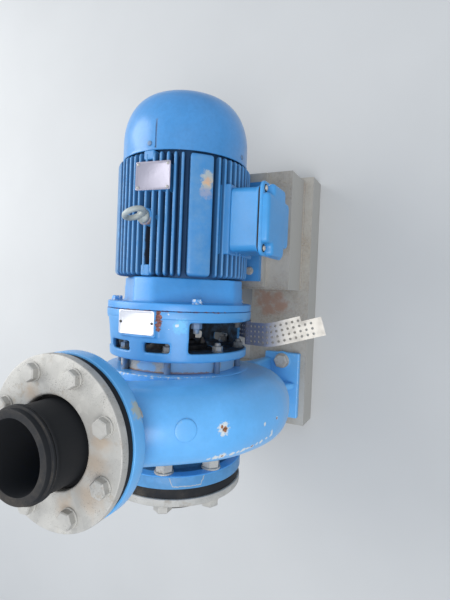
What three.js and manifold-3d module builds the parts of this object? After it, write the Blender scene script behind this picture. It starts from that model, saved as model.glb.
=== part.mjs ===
// Close-coupled end-suction centrifugal pump set on a welded steel base.
//
// All sizes are in millimetres and +Z is up. The shaft runs along X, with the suction branch at the
// low end and the fan at the high end. The discharge branch stands straight up over the origin, which
// lies on the underside of the base. Inside the machine group the shaft axis is Y = 0, Z = 0, and
// angles about it are measured from +Y towards +Z, so that 90 is up and 180 is the viewer's side.

import * as THREE from "three";
import { mergeVertices } from "three/addons/utils/BufferGeometryUtils.js";
import Module from "manifold-3d";

const wasm = await Module();
wasm.setup();

// Heights of the set
const BASE_HEIGHT = 75;
const AXIS_OVER_BASE = 250;
const AXIS_HEIGHT = BASE_HEIGHT + AXIS_OVER_BASE;
const FOOT_LEVEL = -AXIS_OVER_BASE;

// Stations along the shaft
const SUCTION_FACE_X = -140;
const CASING_FRONT_X = 68;
const LANTERN_FRONT_X = 92;
const JOINT_X = 186;
const SHIELD_END_X = 248;
const FIN_END_X = 477;
const COWL_EDGE_X = 481;
const COWL_END_X = 613;

// Facets round the large, middling and small turned bodies
const MANY = 40;
const SOME = 28;
const FEW = 20;

// Casing
const FLANGE_T = 24;
const RING_T = 14;
const CASING_RING_R = 150;
const CASING_BODY = [[36, 138], [-44, 138], [-84, 112], [-90, 92]];
const COVER_R = 120;
const DISCHARGE_FLANGE_R = 127.5;
const DISCHARGE_FACE_Z = 308;
const DISCHARGE_BORE_R = 62;
const SUCTION_FLANGE_R = 140;
const SUCTION_BORE_R = 74;
const SUCTION_NECK_R = 92;
const PASSAGE_WALL = 13;
const CHAMBER_R = 126;
const CHAMBER_X = [-30, 34];
const SECTION_POWER = 2.3;
const SPIGOT_R = 117;
const SPIGOT_X = 38;
const NECK_WEB = { x: [-40, 40], section: [[-60, 120], [70, 110], [52, 190], [30, 250], [-20, 240]] };
const CASING_FOOT = {
  x: [-80, 80],
  y: [112, 200],
  padT: 18,
  wall: { x: [-66, 66], root: [112, 132], top: [94, 124], level: -140 },
  rib: { x: [-7, 7], root: [112, 194], top: [112, 142], level: -120 },
};

// Pipe adaptors and backing rings on the two flanges
const DISCHARGE_ADAPTOR = { flangeR: 124, flangeT: 13, stubR: 62.5, boreR: 51, bead: 77, length: 90 };
const SUCTION_ADAPTOR = { flangeR: 137, flangeT: 19, stubR: 80, boreR: 65.5, bead: 56, length: 66 };
const BEAD = { rise: 4, halfWidth: 5 };
const BACKING_RING_T = 14;
const RING_CLEARANCE = 6;

// Motor
const MOTOR_FLANGE_R = 150;
const MOTOR_FLANGE_T = 14;
const SHIELD_R = 135;
const SHIELD_FLAT = 110;
const CORE_R = 112;
const FIN_R = 138;
const BOTTOM_FIN_R = 126;
const FIN_PITCH = 5.7;
const FIN_HALF_TIP = 0.85;
const FIN_FLARE = 0.5;
const CORE_END_X = 490;
const MOTOR_PLATE = { x: [405, 457], halfWidth: 35.5, seatHalfWidth: 29, gap: 0.8, thickness: 1, turn: 6.5 };
const SHAFT_R = 19;
const FEET_DROP = 132;
const MOTOR_FOOT = { x: [252, 476], y: [62, 98, 130], toe: 15, height: 28, top: -60 };
const FAN_SHIELD = { r: 106, thickness: 14, lugHalf: 9, lugR: [96, 126.6], lugT: 12 };
const FAN = { hubR: 26, hubEnd: 560, discX: [514, 518], discR: 100 };
const BLADE = { count: 8, x: [517, 556], half: 2, r: [20, 99], turn: 10 };
const COWL = { r: 130, sheet: 2.5, domeX: 520, flatR: 68, steps: 8 };
const COWL_SLOT = { count: 12, half: 4.5, r: [26, 64] };
const EYE = { x: 358, bossR: 16, collarR: 13, collarT: 8, ringR: 17.5, barR: 5, rise: 28, turn: 24 };

// Terminal box
const BOX_X = 362;
const BOX_SEAT_Y = -136;
const BOX_RIM_Y = -193;
const BOX = { length: 122, height: 112, corner: 12 };
const BOX_SEAT = { halfLength: 66, halfHeight: 58, innerY: -90 };
const LID = { length: 136, height: 124, corner: 14, thickness: 16 };
const LID_PANEL = { length: 102, height: 94, corner: 18, rise: 5 };
const GLAND = { x: 388, y: -166, profile: [[0, 15], [6, 15], [6, 18], [16, 18], [18, 14], [26, 12]] };

// Lantern
const LANTERN_R = 150;
const LANTERN_FRONT_R = 143;
const LANTERN_WALL = 12;
const LANTERN_BORE_R = 96;
const WINDOW_X = [109, 166];
const WINDOW_HALF_ANGLE = 51.5;
const SLOT_X = [109, 127];
const SLOT_ANGLES = [[59, 82], [95, 115]];
const SPIGOT_BORE_R = 116;
const LANTERN_PLATE = { x: [141, 185], halfWidth: 39.5, level: 149, seatT: 9, margin: 2, turn: -0.5 };

// Base
const RAIL = { x: [-100, 515], y: 138, width: 150, web: 7, flange: 10 };
const CROSS = { x: [0, 370], width: 80, thickness: 10 };
const STOOL = { x: [235, 505], y: [65, 190], height: 100, wall: 5 };
const PACKER = { x: [240, 500], y: [74, 135] };

// Clearance between pieces that are shaped to each other
const GAP = 0.3;

// How far a cutting solid runs past the face that it opens
const OVERRUN = 1;

function material(color, roughness, metalness) {
  return new THREE.MeshStandardMaterial({ color, roughness, metalness });
}
const BLUE = material(0x4a97dc, 0.45, 0.1);
const DEEP_BLUE = material(0x2f6fb4, 0.5, 0.1);
const GALVANISED = material(0xb4b3ad, 0.6, 0.6);
const BLACK_PLASTIC = material(0x1d2024, 0.4, 0);
const BRIGHT_STEEL = material(0x8f8d88, 0.4, 0.9);
const LABEL_METAL = material(0xd8d3cf, 0.35, 0.6);
const BARE_IRON = material(0x7d7468, 0.8, 0.4);
const DUSTY_STEEL = material(0x857d72, 0.8, 0.4);
const STAINLESS = material(0xc9ccd2, 0.25, 1);

const radians = (degrees) => degrees * Math.PI / 180;

function polar(radius, degrees) {
  return [radius * Math.cos(radians(degrees)), radius * Math.sin(radians(degrees))];
}

// Solids

function toSolid(geometry) {
  const plain = new THREE.BufferGeometry();
  plain.setAttribute("position", geometry.getAttribute("position").clone());
  if (geometry.index) plain.setIndex(geometry.index.clone());
  const merged = mergeVertices(plain, 1e-4);
  const index = merged.index.array;
  const triangles = [];
  for (let i = 0; i < index.length; i += 3) {
    const [a, b, c] = [index[i], index[i + 1], index[i + 2]];
    if (a !== b && b !== c && c !== a) triangles.push(a, b, c);
  }
  return new wasm.Manifold(new wasm.Mesh({
    numProp: 3,
    vertProperties: new Float32Array(merged.attributes.position.array),
    triVerts: new Uint32Array(triangles),
  }));
}

function toGeometry(solid) {
  const mesh = solid.getMesh();
  const geometry = new THREE.BufferGeometry();
  geometry.setAttribute("position", new THREE.BufferAttribute(mesh.vertProperties, 3));
  geometry.setIndex(new THREE.BufferAttribute(mesh.triVerts, 1));
  return geometry;
}

const join = (...solids) => solids.reduce((whole, solid) => whole.add(solid));

function basis(...axes) {
  return new THREE.Matrix4().makeBasis(...axes.map((axis) => new THREE.Vector3(...axis)));
}
const TURN_TO_X = basis([0, 0, 1], [1, 0, 0], [0, 1, 0]);
const SECTION_TO_YZ = basis([0, 1, 0], [0, 0, 1], [1, 0, 0]);
const SECTION_TO_XZ = basis([1, 0, 0], [0, 0, 1], [0, -1, 0]);

function block([x0, x1], [y0, y1], [z0, z1]) {
  const geometry = new THREE.BoxGeometry(x1 - x0, y1 - y0, z1 - z0);
  geometry.translate((x0 + x1) / 2, (y0 + y1) / 2, (z0 + z1) / 2);
  return toSolid(geometry);
}

// Orders a profile so that the revolved faces point outwards.
function outward(points) {
  let area = 0;
  points.forEach(([h, r], i) => {
    const [nextH, nextR] = points[(i + 1) % points.length];
    area += r * nextH - nextR * h;
  });
  return area > 0 ? points : [...points].reverse();
}

function revolve(points, sides) {
  return new THREE.LatheGeometry(outward(points).map(([h, r]) => new THREE.Vector2(r, h)), sides);
}

// Revolves [x, radius] points about the shaft axis.
function turnedX(points, sides = MANY) {
  return toSolid(revolve(points, sides).applyMatrix4(TURN_TO_X));
}

// Revolves [z, radius] points about a vertical axis.
function turnedZ(points, sides = MANY, x = 0, y = 0) {
  return toSolid(revolve(points, sides).rotateX(Math.PI / 2).translate(x, y, 0));
}

function rodX([x0, x1], radius, sides = MANY) {
  return turnedX([[x0, 0], [x0, radius], [x1, radius], [x1, 0]], sides);
}

function rodZ([z0, z1], radius, sides = MANY, x = 0, y = 0) {
  return turnedZ([[z0, 0], [z0, radius], [z1, radius], [z1, 0]], sides, x, y);
}

// Runs a section of [y, z] points along X.
function barX(points, [x0, x1]) {
  const shape = new THREE.Shape(points.map(([y, z]) => new THREE.Vector2(y, z)));
  const geometry = new THREE.ExtrudeGeometry(shape, { depth: x1 - x0, bevelEnabled: false });
  return toSolid(geometry.applyMatrix4(SECTION_TO_YZ).translate(x0, 0, 0));
}

// Runs a rounded rectangle in the XZ plane from yFrom out to yTo, on the viewer's side.
function roundedSlab({ length, height, corner }, x, yFrom, yTo) {
  const a = length / 2 - corner;
  const b = height / 2 - corner;
  const shape = new THREE.Shape();
  shape.absarc(a, -b, corner, -Math.PI / 2, 0);
  shape.absarc(a, b, corner, 0, Math.PI / 2);
  shape.absarc(-a, b, corner, Math.PI / 2, Math.PI);
  shape.absarc(-a, -b, corner, Math.PI, 1.5 * Math.PI);
  const run = { depth: yFrom - yTo, bevelEnabled: false, curveSegments: 4 };
  return toSolid(new THREE.ExtrudeGeometry(shape, run).applyMatrix4(SECTION_TO_XZ).translate(x, yFrom, 0));
}

// A wedge of space about the shaft axis that reaches past the lantern, used to cut openings in it.
function sectorX(span, fromDegrees, toDegrees) {
  const radius = 200;
  const steps = Math.max(2, Math.ceil((toDegrees - fromDegrees) / 26));
  const points = [[0, 0]];
  for (let i = 0; i <= steps; i += 1) {
    points.push(polar(radius, fromDegrees + (toDegrees - fromDegrees) * i / steps));
  }
  return barX(points, span);
}

// Turns a solid about the shaft axis; positive goes from up towards the viewer's side.
const turnedBy = (solid, degrees) => toSolid(toGeometry(solid).rotateX(radians(degrees)));

// A tube whose centre line stays close to a YZ plane. Each section has an axial and a radial half
// size, and is a little squarer than an ellipse.
function passage(stations, sides) {
  const squared = (value) => Math.sign(value) * Math.abs(value) ** (2 / SECTION_POWER);
  const centres = stations.map(({ x, y, z }) => new THREE.Vector3(x, y, z));
  const points = [];
  stations.forEach(({ axial, radial }, i) => {
    const before = centres[Math.max(i - 1, 0)];
    const after = centres[Math.min(i + 1, centres.length - 1)];
    const along = after.clone().sub(before).setX(0).normalize();
    const across = new THREE.Vector3(0, -along.z, along.y);
    for (let k = 0; k < sides; k += 1) {
      const turn = 2 * Math.PI * k / sides;
      const point = centres[i].clone().addScaledVector(across, radial * squared(Math.cos(turn)));
      points.push(point.x + axial * squared(Math.sin(turn)), point.y, point.z);
    }
  });
  const index = [];
  const last = (stations.length - 1) * sides;
  for (let ring = 0; ring < last; ring += sides) {
    for (let k = 0; k < sides; k += 1) {
      const a = ring + k;
      const b = ring + (k + 1) % sides;
      index.push(a, b, a + sides, b, b + sides, a + sides);
    }
  }
  for (let k = 1; k < sides - 1; k += 1) {
    index.push(0, k + 1, k);
    index.push(last, last + k, last + k + 1);
  }
  const geometry = new THREE.BufferGeometry();
  geometry.setAttribute("position", new THREE.BufferAttribute(new Float32Array(points), 3));
  geometry.setIndex(index);
  return toSolid(geometry);
}

function piece(name, solid, surface) {
  const mesh = new THREE.Mesh(toGeometry(solid), surface);
  mesh.name = name;
  return mesh;
}

// A piece of the far side, or its mirror image on the near side.
const sided = (side, [inner, outer]) => (side > 0 ? [inner, outer] : [-outer, -inner]);

// Casing: the passage starts above the far side, runs under the shaft, up the near side and over
// to the discharge flange.

const SPIRAL = { x: 1, turn: [62, -180], axial: [42, 70], radial: [42, 84], centre: [116, 160], steps: 15 };
const NECK = [
  [1, -153, 58, 69, 84], [2, -134, 112, 68, 83], [3, -98, 160, 66, 81], [3, -54, 200, 66, 79],
  [2, -18, 232, 67, 76], [1, -3, 260, 69, 75], [0, 0, 284, 71, 74],
];
const NECK_TOP = 255;
const NECK_END_R = 75;

function passageStations(inset) {
  const stations = [];
  for (let i = 0; i <= SPIRAL.steps; i += 1) {
    const at = (range) => THREE.MathUtils.lerp(...range, i / SPIRAL.steps);
    const [y, z] = polar(at(SPIRAL.centre), at(SPIRAL.turn));
    stations.push({ x: SPIRAL.x, y, z, axial: at(SPIRAL.axial) - inset, radial: at(SPIRAL.radial) - inset });
  }
  for (const [x, y, z, axial, radial] of NECK) {
    stations.push({ x, y, z, axial: axial - inset, radial: radial - inset });
  }
  return stations;
}

// A pad with two bolt places, a wall up to the belly of the casing and a rib between the bolts.
function casingFoot(side) {
  const { x, y, padT, wall, rib } = CASING_FOOT;
  const padTop = FOOT_LEVEL + padT;
  const tapered = ({ x: span, root, top, level }, low) => barX(
    [[side * root[0], low], [side * root[1], low], [side * top[1], level], [side * top[0], level]], span);
  const pad = block(x, sided(side, y), [FOOT_LEVEL, padTop]);
  return join(pad, tapered(wall, FOOT_LEVEL), tapered(rib, padTop));
}

function voluteCasing() {
  const suctionBack = SUCTION_FACE_X + FLANGE_T;
  const flangeUnder = DISCHARGE_FACE_Z - FLANGE_T;
  const body = turnedX([
    [CASING_FRONT_X, 0], [CASING_FRONT_X, CASING_RING_R], [CASING_FRONT_X - RING_T, CASING_RING_R],
    ...CASING_BODY, [suctionBack, SUCTION_NECK_R],
    [suctionBack, SUCTION_FLANGE_R], [SUCTION_FACE_X, SUCTION_FLANGE_R], [SUCTION_FACE_X, 0],
  ]);
  const flange = rodZ([flangeUnder, DISCHARGE_FACE_Z], DISCHARGE_FLANGE_R);
  const neckEnd = rodZ([NECK_TOP, flangeUnder + FLANGE_T / 2], NECK_END_R, SOME);
  const web = barX(NECK_WEB.section, NECK_WEB.x);
  const feet = casingFoot(1).add(casingFoot(-1));
  const outside = join(body, passage(passageStations(0), 26), flange, neckEnd, web, feet);

  const waterWay = passage(passageStations(PASSAGE_WALL), FEW);
  const outlet = rodZ([NECK_TOP, DISCHARGE_FACE_Z + OVERRUN], DISCHARGE_BORE_R, SOME);
  const chamber = rodX(CHAMBER_X, CHAMBER_R);
  const front = rodX([CHAMBER_X[1] - OVERRUN, CASING_FRONT_X + OVERRUN], SPIGOT_R + 2 * GAP);
  const inlet = rodX([SUCTION_FACE_X - OVERRUN, CHAMBER_X[0] + OVERRUN], SUCTION_BORE_R);
  const ahead = block([CASING_FRONT_X, CASING_RING_R], [-260, 260], [-240, flangeUnder - OVERRUN]);
  return outside.subtract(join(waterWay, outlet, chamber, front, inlet, ahead));
}

const SEAL_HOUSING = { endX: 104, endR: 70, bore: 36 };

// The back wall of the pump chamber, with the seal housing that reaches into the lantern.
function casingCover() {
  const { endX, endR, bore } = SEAL_HOUSING;
  return turnedX([
    [SPIGOT_X, bore], [SPIGOT_X, SPIGOT_R], [CASING_FRONT_X, SPIGOT_R], [CASING_FRONT_X, COVER_R],
    [LANTERN_FRONT_X, COVER_R], [LANTERN_FRONT_X, LANTERN_BORE_R - 4], [endX, endR],
    [endX, bore], [SPIGOT_X, bore],
  ]);
}

const sealGland = () => turnedX([
  [104, 27], [104, 60], [113, 60], [113, 36], [120, 34], [120, 27], [104, 27],
], SOME);

const IMPELLER = {
  profile: [[28, 0], [28, 120], [-22, 120], [-26, 116], [-26, 62], [14, 58], [14, 26], [-12, 20], [-20, 0]],
  vanes: 6,
  vaneX: [-14, 18],
  vaneHalf: 2.5,
  vaneR: [18, 64],
};

// Two shrouds in one body, with the vanes that show in the eye.
function impeller() {
  const { profile, vanes, vaneX, vaneHalf, vaneR } = IMPELLER;
  let whole = turnedX(profile, SOME);
  for (let i = 0; i < vanes; i += 1) {
    whole = whole.add(turnedBy(block(vaneX, [-vaneHalf, vaneHalf], vaneR), 360 * i / vanes));
  }
  return whole;
}

const pumpShaft = () => turnedX([
  [28, 0], [28, 24], [124, 24], [124, 34], [164, 34], [164, SHAFT_R], [JOINT_X, SHAFT_R], [JOINT_X, 0],
], SOME);

// A moulded flange with a short stub that ends just past its weld bead, from the face outwards.
function adaptorProfile({ flangeR, flangeT, stubR, boreR, bead, length }) {
  return [
    [0, boreR], [0, flangeR], [flangeT, flangeR], [flangeT, stubR], [bead - BEAD.halfWidth, stubR],
    [bead, stubR + BEAD.rise], [bead + BEAD.halfWidth, stubR], [length, stubR], [length, boreR], [0, boreR],
  ];
}

const ringProfile = ({ flangeT, stubR }, outerR) => [
  [flangeT, stubR + RING_CLEARANCE], [flangeT, outerR], [flangeT + BACKING_RING_T, outerR],
  [flangeT + BACKING_RING_T, stubR + RING_CLEARANCE], [flangeT, stubR + RING_CLEARANCE],
];

const dischargeRing = ringProfile(DISCHARGE_ADAPTOR, DISCHARGE_FLANGE_R);
const suctionRing = ringProfile(SUCTION_ADAPTOR, SUCTION_FLANGE_R);
const onDischarge = (profile) => turnedZ(profile.map(([h, r]) => [DISCHARGE_FACE_Z + h, r]));
const onSuction = (profile) => turnedX(profile.map(([h, r]) => [SUCTION_FACE_X - h, r]));

// Lantern: a ring at each end with two side windows, and wrench slots above and below

function lantern() {
  const [windowFront, windowBack] = WINDOW_X;
  let body = turnedX([
    [LANTERN_FRONT_X, LANTERN_BORE_R], [LANTERN_FRONT_X, LANTERN_FRONT_R], [windowBack, LANTERN_R],
    [JOINT_X, LANTERN_R], [JOINT_X, SPIGOT_BORE_R], [windowBack, SPIGOT_BORE_R],
    [windowBack, LANTERN_R - LANTERN_WALL], [windowFront, LANTERN_FRONT_R - LANTERN_WALL],
    [windowFront, LANTERN_BORE_R], [LANTERN_FRONT_X, LANTERN_BORE_R],
  ]);
  const { x, halfWidth, level, seatT, margin, turn } = LANTERN_PLATE;
  const seatY = [-halfWidth - margin, halfWidth + margin];
  const seat = block([x[0] - margin, JOINT_X], seatY, [level - seatT, level]);
  const shaved = block([x[0] - margin, JOINT_X + OVERRUN], seatY, [level, level + seatT]);
  body = body.add(turnedBy(seat, turn)).subtract(turnedBy(shaved, turn));
  for (const middle of [0, 180]) {
    body = body.subtract(sectorX(WINDOW_X, middle - WINDOW_HALF_ANGLE, middle + WINDOW_HALF_ANGLE));
  }
  for (const [from, to] of SLOT_ANGLES) {
    body = body.subtract(join(sectorX(SLOT_X, from, to), sectorX(SLOT_X, -to, -from)));
  }
  return body;
}

function lanternPlate() {
  const { x, halfWidth, level, turn } = LANTERN_PLATE;
  return turnedBy(block(x, [-halfWidth, halfWidth], [level + GAP, level + GAP + 1]), turn);
}

// Perforated window guard: wraps the lower pillar, folds outwards, climbs, then droops and swings towards the motor.
const GUARD = { x: 145, half: 22, t: 1.5, r: 150.6, wrap: [246, 182], fold: 9, length: 163.4 };
const GUARD_CLIMB = { from: 25.8, to: -10, at: 70.5, within: 16 };
const GUARD_SWING = { from: 2.2, to: 16.8, at: 64, within: 12 };
const GUARD_STEPS = { wrap: 12, fold: 4, free: 14, fine: 6 };
const GUARD_NOTCH = { step: 11, edge: 11.9 };

function eased({ from, to, at, within }, along) {
  return from + (to - from) * (1 + Math.tanh((along - at) / within)) / 2;
}

// One cross-section of the strip, for a climb above level and a swing towards the motor, both in degrees.
function guardSection(centre, climb, swing = 0) {
  const [up, level] = [Math.sin(radians(climb)), Math.cos(radians(climb))];
  const [aside, ahead] = [Math.sin(radians(swing)), Math.cos(radians(swing))];
  return {
    centre,
    across: new THREE.Vector3(ahead, aside * level, -aside * up),
    along: new THREE.Vector3(aside, -ahead * level, ahead * up),
    face: new THREE.Vector3(0, up, level),
  };
}

function guardSections() {
  const bound = [];
  const radius = GUARD.r + GUARD.t / 2;
  for (let i = 0; i <= GUARD_STEPS.wrap; i += 1) {
    const angle = THREE.MathUtils.lerp(...GUARD.wrap, i / GUARD_STEPS.wrap);
    bound.push(guardSection(new THREE.Vector3(GUARD.x, ...polar(radius, angle)), 270 - angle));
  }
  const steepest = 270 - GUARD.wrap[1];
  const folded = bound[bound.length - 1];
  const middle = folded.centre.clone().addScaledVector(folded.face, -GUARD.fold);
  for (let i = 1; i <= GUARD_STEPS.fold; i += 1) {
    const climb = THREE.MathUtils.lerp(steepest, eased(GUARD_CLIMB, 0), i / GUARD_STEPS.fold);
    const section = guardSection(middle.clone(), climb);
    section.centre.addScaledVector(section.face, GUARD.fold);
    bound.push(section);
  }
  const free = [];
  const point = bound[bound.length - 1].centre.clone();
  const steps = GUARD_STEPS.free * GUARD_STEPS.fine;
  const step = GUARD.length / steps;
  for (let i = 1; i <= steps; i += 1) {
    const half = (i - 0.5) * step;
    point.addScaledVector(guardSection(point, eased(GUARD_CLIMB, half), eased(GUARD_SWING, half)).along, step);
    if (i % GUARD_STEPS.fine) continue;
    const along = i * step;
    free.push(guardSection(point.clone(), eased(GUARD_CLIMB, along), eased(GUARD_SWING, along)));
  }
  return { bound, free };
}

function sheetThrough(sections, [low, high], thickness) {
  const places = [];
  const index = [0, 3, 2, 0, 2, 1];
  for (const { centre, across, face } of sections) {
    for (const [wide, deep] of [[low, -0.5], [high, -0.5], [high, 0.5], [low, 0.5]]) {
      const corner = centre.clone().addScaledVector(across, wide).addScaledVector(face, deep * thickness);
      places.push(...corner.toArray());
    }
  }
  for (let i = 1; i < sections.length; i += 1) {
    for (let k = 0; k < 4; k += 1) {
      const [a, b] = [4 * (i - 1) + k, 4 * (i - 1) + (k + 1) % 4];
      index.push(a, b, b + 4, a, b + 4, a + 4);
    }
  }
  const last = 4 * (sections.length - 1);
  index.push(last, last + 1, last + 2, last, last + 2, last + 3);
  const geometry = new THREE.BufferGeometry();
  geometry.setAttribute("position", new THREE.Float32BufferAttribute(places, 3));
  geometry.setIndex(index);
  return toSolid(geometry);
}

function guardStrip() {
  const { bound, free } = guardSections();
  const strip = sheetThrough([...bound, ...free], [-GUARD.half, GUARD.half], GUARD.t);
  const tab = free.slice(GUARD_NOTCH.step - 1);
  const end = tab[tab.length - 1];
  const beyond = { ...end, centre: end.centre.clone().addScaledVector(end.along, OVERRUN) };
  const notch = sheetThrough([...tab, beyond], [GUARD_NOTCH.edge, GUARD.half + OVERRUN], GUARD.t + 2 * OVERRUN);
  return strip.subtract(notch);
}

// Motor

// Each rise is [from, to, tip radius], in degrees at the tip.
const SIDE_PADS = [[36, 55, FIN_R], [125, 144, FIN_R]];
const FINS = [];
const addFin = (angle, tipR) => FINS.push([angle - FIN_HALF_TIP, angle + FIN_HALF_TIP, tipR]);
for (const side of [1, -1]) {
  for (let k = 0; k < 5; k += 1) addFin(90 + side * (6.5 + FIN_PITCH * k), FIN_R);
  for (let a = 59.3; a < 126; a += FIN_PITCH) addFin(90 + side * a, FIN_R);
}
for (let k = -3; k <= 3; k += 1) addFin(270 + FIN_PITCH * k, BOTTOM_FIN_R);

function finnedSection() {
  const rises = [...SIDE_PADS, ...FINS]
    .map(([from, to, tipR]) => (from < 0 ? [from + 360, to + 360, tipR] : [from, to, tipR]))
    .sort((a, b) => a[0] - b[0]);
  const points = [];
  rises.forEach(([from, to, tipR], i) => {
    points.push(polar(CORE_R, from - FIN_FLARE), polar(tipR, from));
    if (to - from > 4) points.push(polar(tipR + 1, (from + to) / 2));
    points.push(polar(tipR, to), polar(CORE_R, to + FIN_FLARE));
    const next = i + 1 < rises.length ? rises[i + 1][0] : rises[0][0] + 360;
    for (let a = to + 7; a < next - 3; a += 6) points.push(polar(CORE_R, a));
  });
  return points;
}

// The finned section, with seats for the terminal box, the plate and the eye bolt, and the foot roots.
function motorFrame() {
  const { halfLength, halfHeight, innerY } = BOX_SEAT;
  const seatX = [BOX_X - halfLength, BOX_X + halfLength];
  const seatFace = BOX_SEAT_Y + GAP;
  const { x: plateX, seatHalfWidth, turn } = MOTOR_PLATE;
  const core = rodX([SHIELD_END_X, CORE_END_X], CORE_R);
  const fins = barX(finnedSection(), [SHIELD_END_X, FIN_END_X]).add(core);
  const boxSeat = block(seatX, [seatFace, innerY], [-halfHeight, halfHeight]);
  const boxRoom = block(seatX, [-FIN_R - 2, seatFace], [-halfHeight, halfHeight]);
  const plateSeat = turnedBy(block(plateX, [-seatHalfWidth, seatHalfWidth], [CORE_R - 12, FIN_R]), turn);
  const boss = rodZ([CORE_R - 12, FIN_R + 1], EYE.bossR, FEW, EYE.x);
  const frame = join(fins, boxSeat, plateSeat, boss).subtract(boxRoom);
  const { x, y, height, top } = MOTOR_FOOT;
  const root = (side) => block(x, sided(side, [y[0], y[1]]), [height - FEET_DROP, top]);
  return join(frame, root(1), root(-1));
}

function motorPlate() {
  const { x, halfWidth, gap, thickness, turn } = MOTOR_PLATE;
  return turnedBy(block(x, [-halfWidth, halfWidth], [FIN_R + gap, FIN_R + gap + thickness]), turn);
}

function motorFoot(side) {
  const { x, y: [inner, step, outer], toe, height } = MOTOR_FOOT;
  const section = [[inner, 0], [outer, 0], [outer, toe], [step, toe], [step, height], [inner, height]];
  return barX(section.map(([y, z]) => [side * y, z - FEET_DROP]), x);
}

// A round body with four flats that clear the flange bolts.
function drivingShield() {
  const bodyX = [JOINT_X + MOTOR_FLANGE_T, SHIELD_END_X];
  const besideX = [bodyX[0], SHIELD_END_X + OVERRUN];
  let body = rodX(bodyX, SHIELD_R);
  for (const angle of [45, 135, 225, 315]) {
    const beside = block(besideX, [-SHIELD_R, SHIELD_R], [SHIELD_FLAT, SHIELD_R + 9]);
    body = body.subtract(turnedBy(beside, angle));
  }
  return rodX([JOINT_X, JOINT_X + MOTOR_FLANGE_T], MOTOR_FLANGE_R).add(body);
}

// The end shield behind the fan, with the four lugs that the cowl is screwed to.
function fanShield() {
  const { r, thickness, lugHalf, lugR, lugT } = FAN_SHIELD;
  let shield = rodX([CORE_END_X, CORE_END_X + thickness], r);
  for (const angle of [0, 90, 180, 270]) {
    shield = shield.add(turnedBy(block([CORE_END_X, CORE_END_X + lugT], [-lugHalf, lugHalf], lugR), angle));
  }
  return shield;
}

function coolingFan() {
  const hubX = [CORE_END_X + FAN_SHIELD.thickness + GAP, FAN.hubEnd];
  let fan = rodX(hubX, FAN.hubR, FEW).add(rodX(FAN.discX, FAN.discR));
  for (let i = 0; i < BLADE.count; i += 1) {
    const blade = block(BLADE.x, [-BLADE.half, BLADE.half], BLADE.r);
    fan = fan.add(turnedBy(blade, 360 * i / BLADE.count + BLADE.turn));
  }
  return fan;
}

// A pressed cowl whose end is a quarter ellipse from the rim in to a flat, with slots in the flat.
function fanCowl() {
  const { r, sheet, domeX, flatR, steps } = COWL;
  const reach = COWL_END_X - domeX;
  const shell = (inset) => {
    const points = [[COWL_EDGE_X, r - inset]];
    for (let i = 0; i <= steps; i += 1) {
      const turn = Math.PI / 2 * i / steps;
      points.push([
        domeX + (reach - inset) * Math.sin(turn),
        flatR + (r - inset - flatR) * Math.cos(turn),
      ]);
    }
    return points;
  };
  let cowl = turnedX([[COWL_END_X, 0], ...shell(0).reverse(), ...shell(sheet), [COWL_END_X - sheet, 0]]);
  const slotX = [COWL_END_X - 2 * sheet, COWL_END_X + OVERRUN];
  for (let i = 0; i < COWL_SLOT.count; i += 1) {
    const slot = block(slotX, [-COWL_SLOT.half, COWL_SLOT.half], COWL_SLOT.r);
    cowl = cowl.subtract(turnedBy(slot, 360 * (i + 0.5) / COWL_SLOT.count));
  }
  return cowl;
}

// An eye bolt: a collar on the boss and an upright ring that is turned a little out of the shaft line.
function liftingEye() {
  const seat = FIN_R + 1 + GAP;
  const ring = new THREE.TorusGeometry(EYE.ringR, EYE.barR, 8, FEW);
  ring.rotateY(radians(90));
  ring.rotateZ(radians(EYE.turn));
  ring.translate(EYE.x, 0, seat + EYE.rise);
  return toSolid(ring).add(rodZ([seat, seat + EYE.collarT], EYE.collarR, FEW, EYE.x));
}

function terminalLid() {
  const rim = BOX_RIM_Y - GAP;
  const face = rim - LID.thickness;
  const panel = roundedSlab(LID_PANEL, BOX_X, face + OVERRUN, face - LID_PANEL.rise);
  return roundedSlab(LID, BOX_X, rim, face).add(panel);
}

function cableGland() {
  const top = -BOX.height / 2;
  const turned = GLAND.profile.map(([drop, r]) => [top - drop, r]);
  return turnedZ([[top, 0], ...turned, [turned[turned.length - 1][0], 0]], FEW, GLAND.x, GLAND.y);
}

// Base

function rail(side) {
  const half = RAIL.width / 2;
  const top = BASE_HEIGHT;
  const under = top - RAIL.web;
  const section = [
    [-half, 0], [-half, top], [half, top], [half, 0], [half - RAIL.flange, 0], [half - RAIL.flange, under],
    [-half + RAIL.flange, under], [-half + RAIL.flange, 0],
  ];
  return barX(section.map(([y, z]) => [y + side * RAIL.y, z]), RAIL.x);
}

function crossMember(x) {
  const reach = RAIL.y - RAIL.width / 2;
  return block([x - CROSS.width / 2, x + CROSS.width / 2], [-reach, reach], [0, CROSS.thickness]);
}

function stool(side) {
  const { x, y, height, wall } = STOOL;
  const shrink = ([low, high]) => [low + wall, high - wall];
  const z = [BASE_HEIGHT, BASE_HEIGHT + height];
  const hollow = block([x[0] - OVERRUN, x[1] + OVERRUN], sided(side, shrink(y)), shrink(z));
  return block(x, sided(side, y), z).subtract(hollow);
}

const packer = (side) => block(
  PACKER.x, sided(side, PACKER.y), [BASE_HEIGHT + STOOL.height, AXIS_HEIGHT - FEET_DROP]);

// Assembly

const base = new THREE.Group();
for (const [side, label] of [[-1, "near"], [1, "far"]]) {
  base.add(
    piece(`base_rail_${label}`, rail(side), DUSTY_STEEL),
    piece(`motor_stool_${label}`, stool(side), DUSTY_STEEL),
    piece(`motor_packer_${label}`, packer(side), DUSTY_STEEL),
  );
}
base.add(
  piece("base_cross_member_pump", crossMember(CROSS.x[0]), DUSTY_STEEL),
  piece("base_cross_member_motor", crossMember(CROSS.x[1]), DUSTY_STEEL),
);

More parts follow.
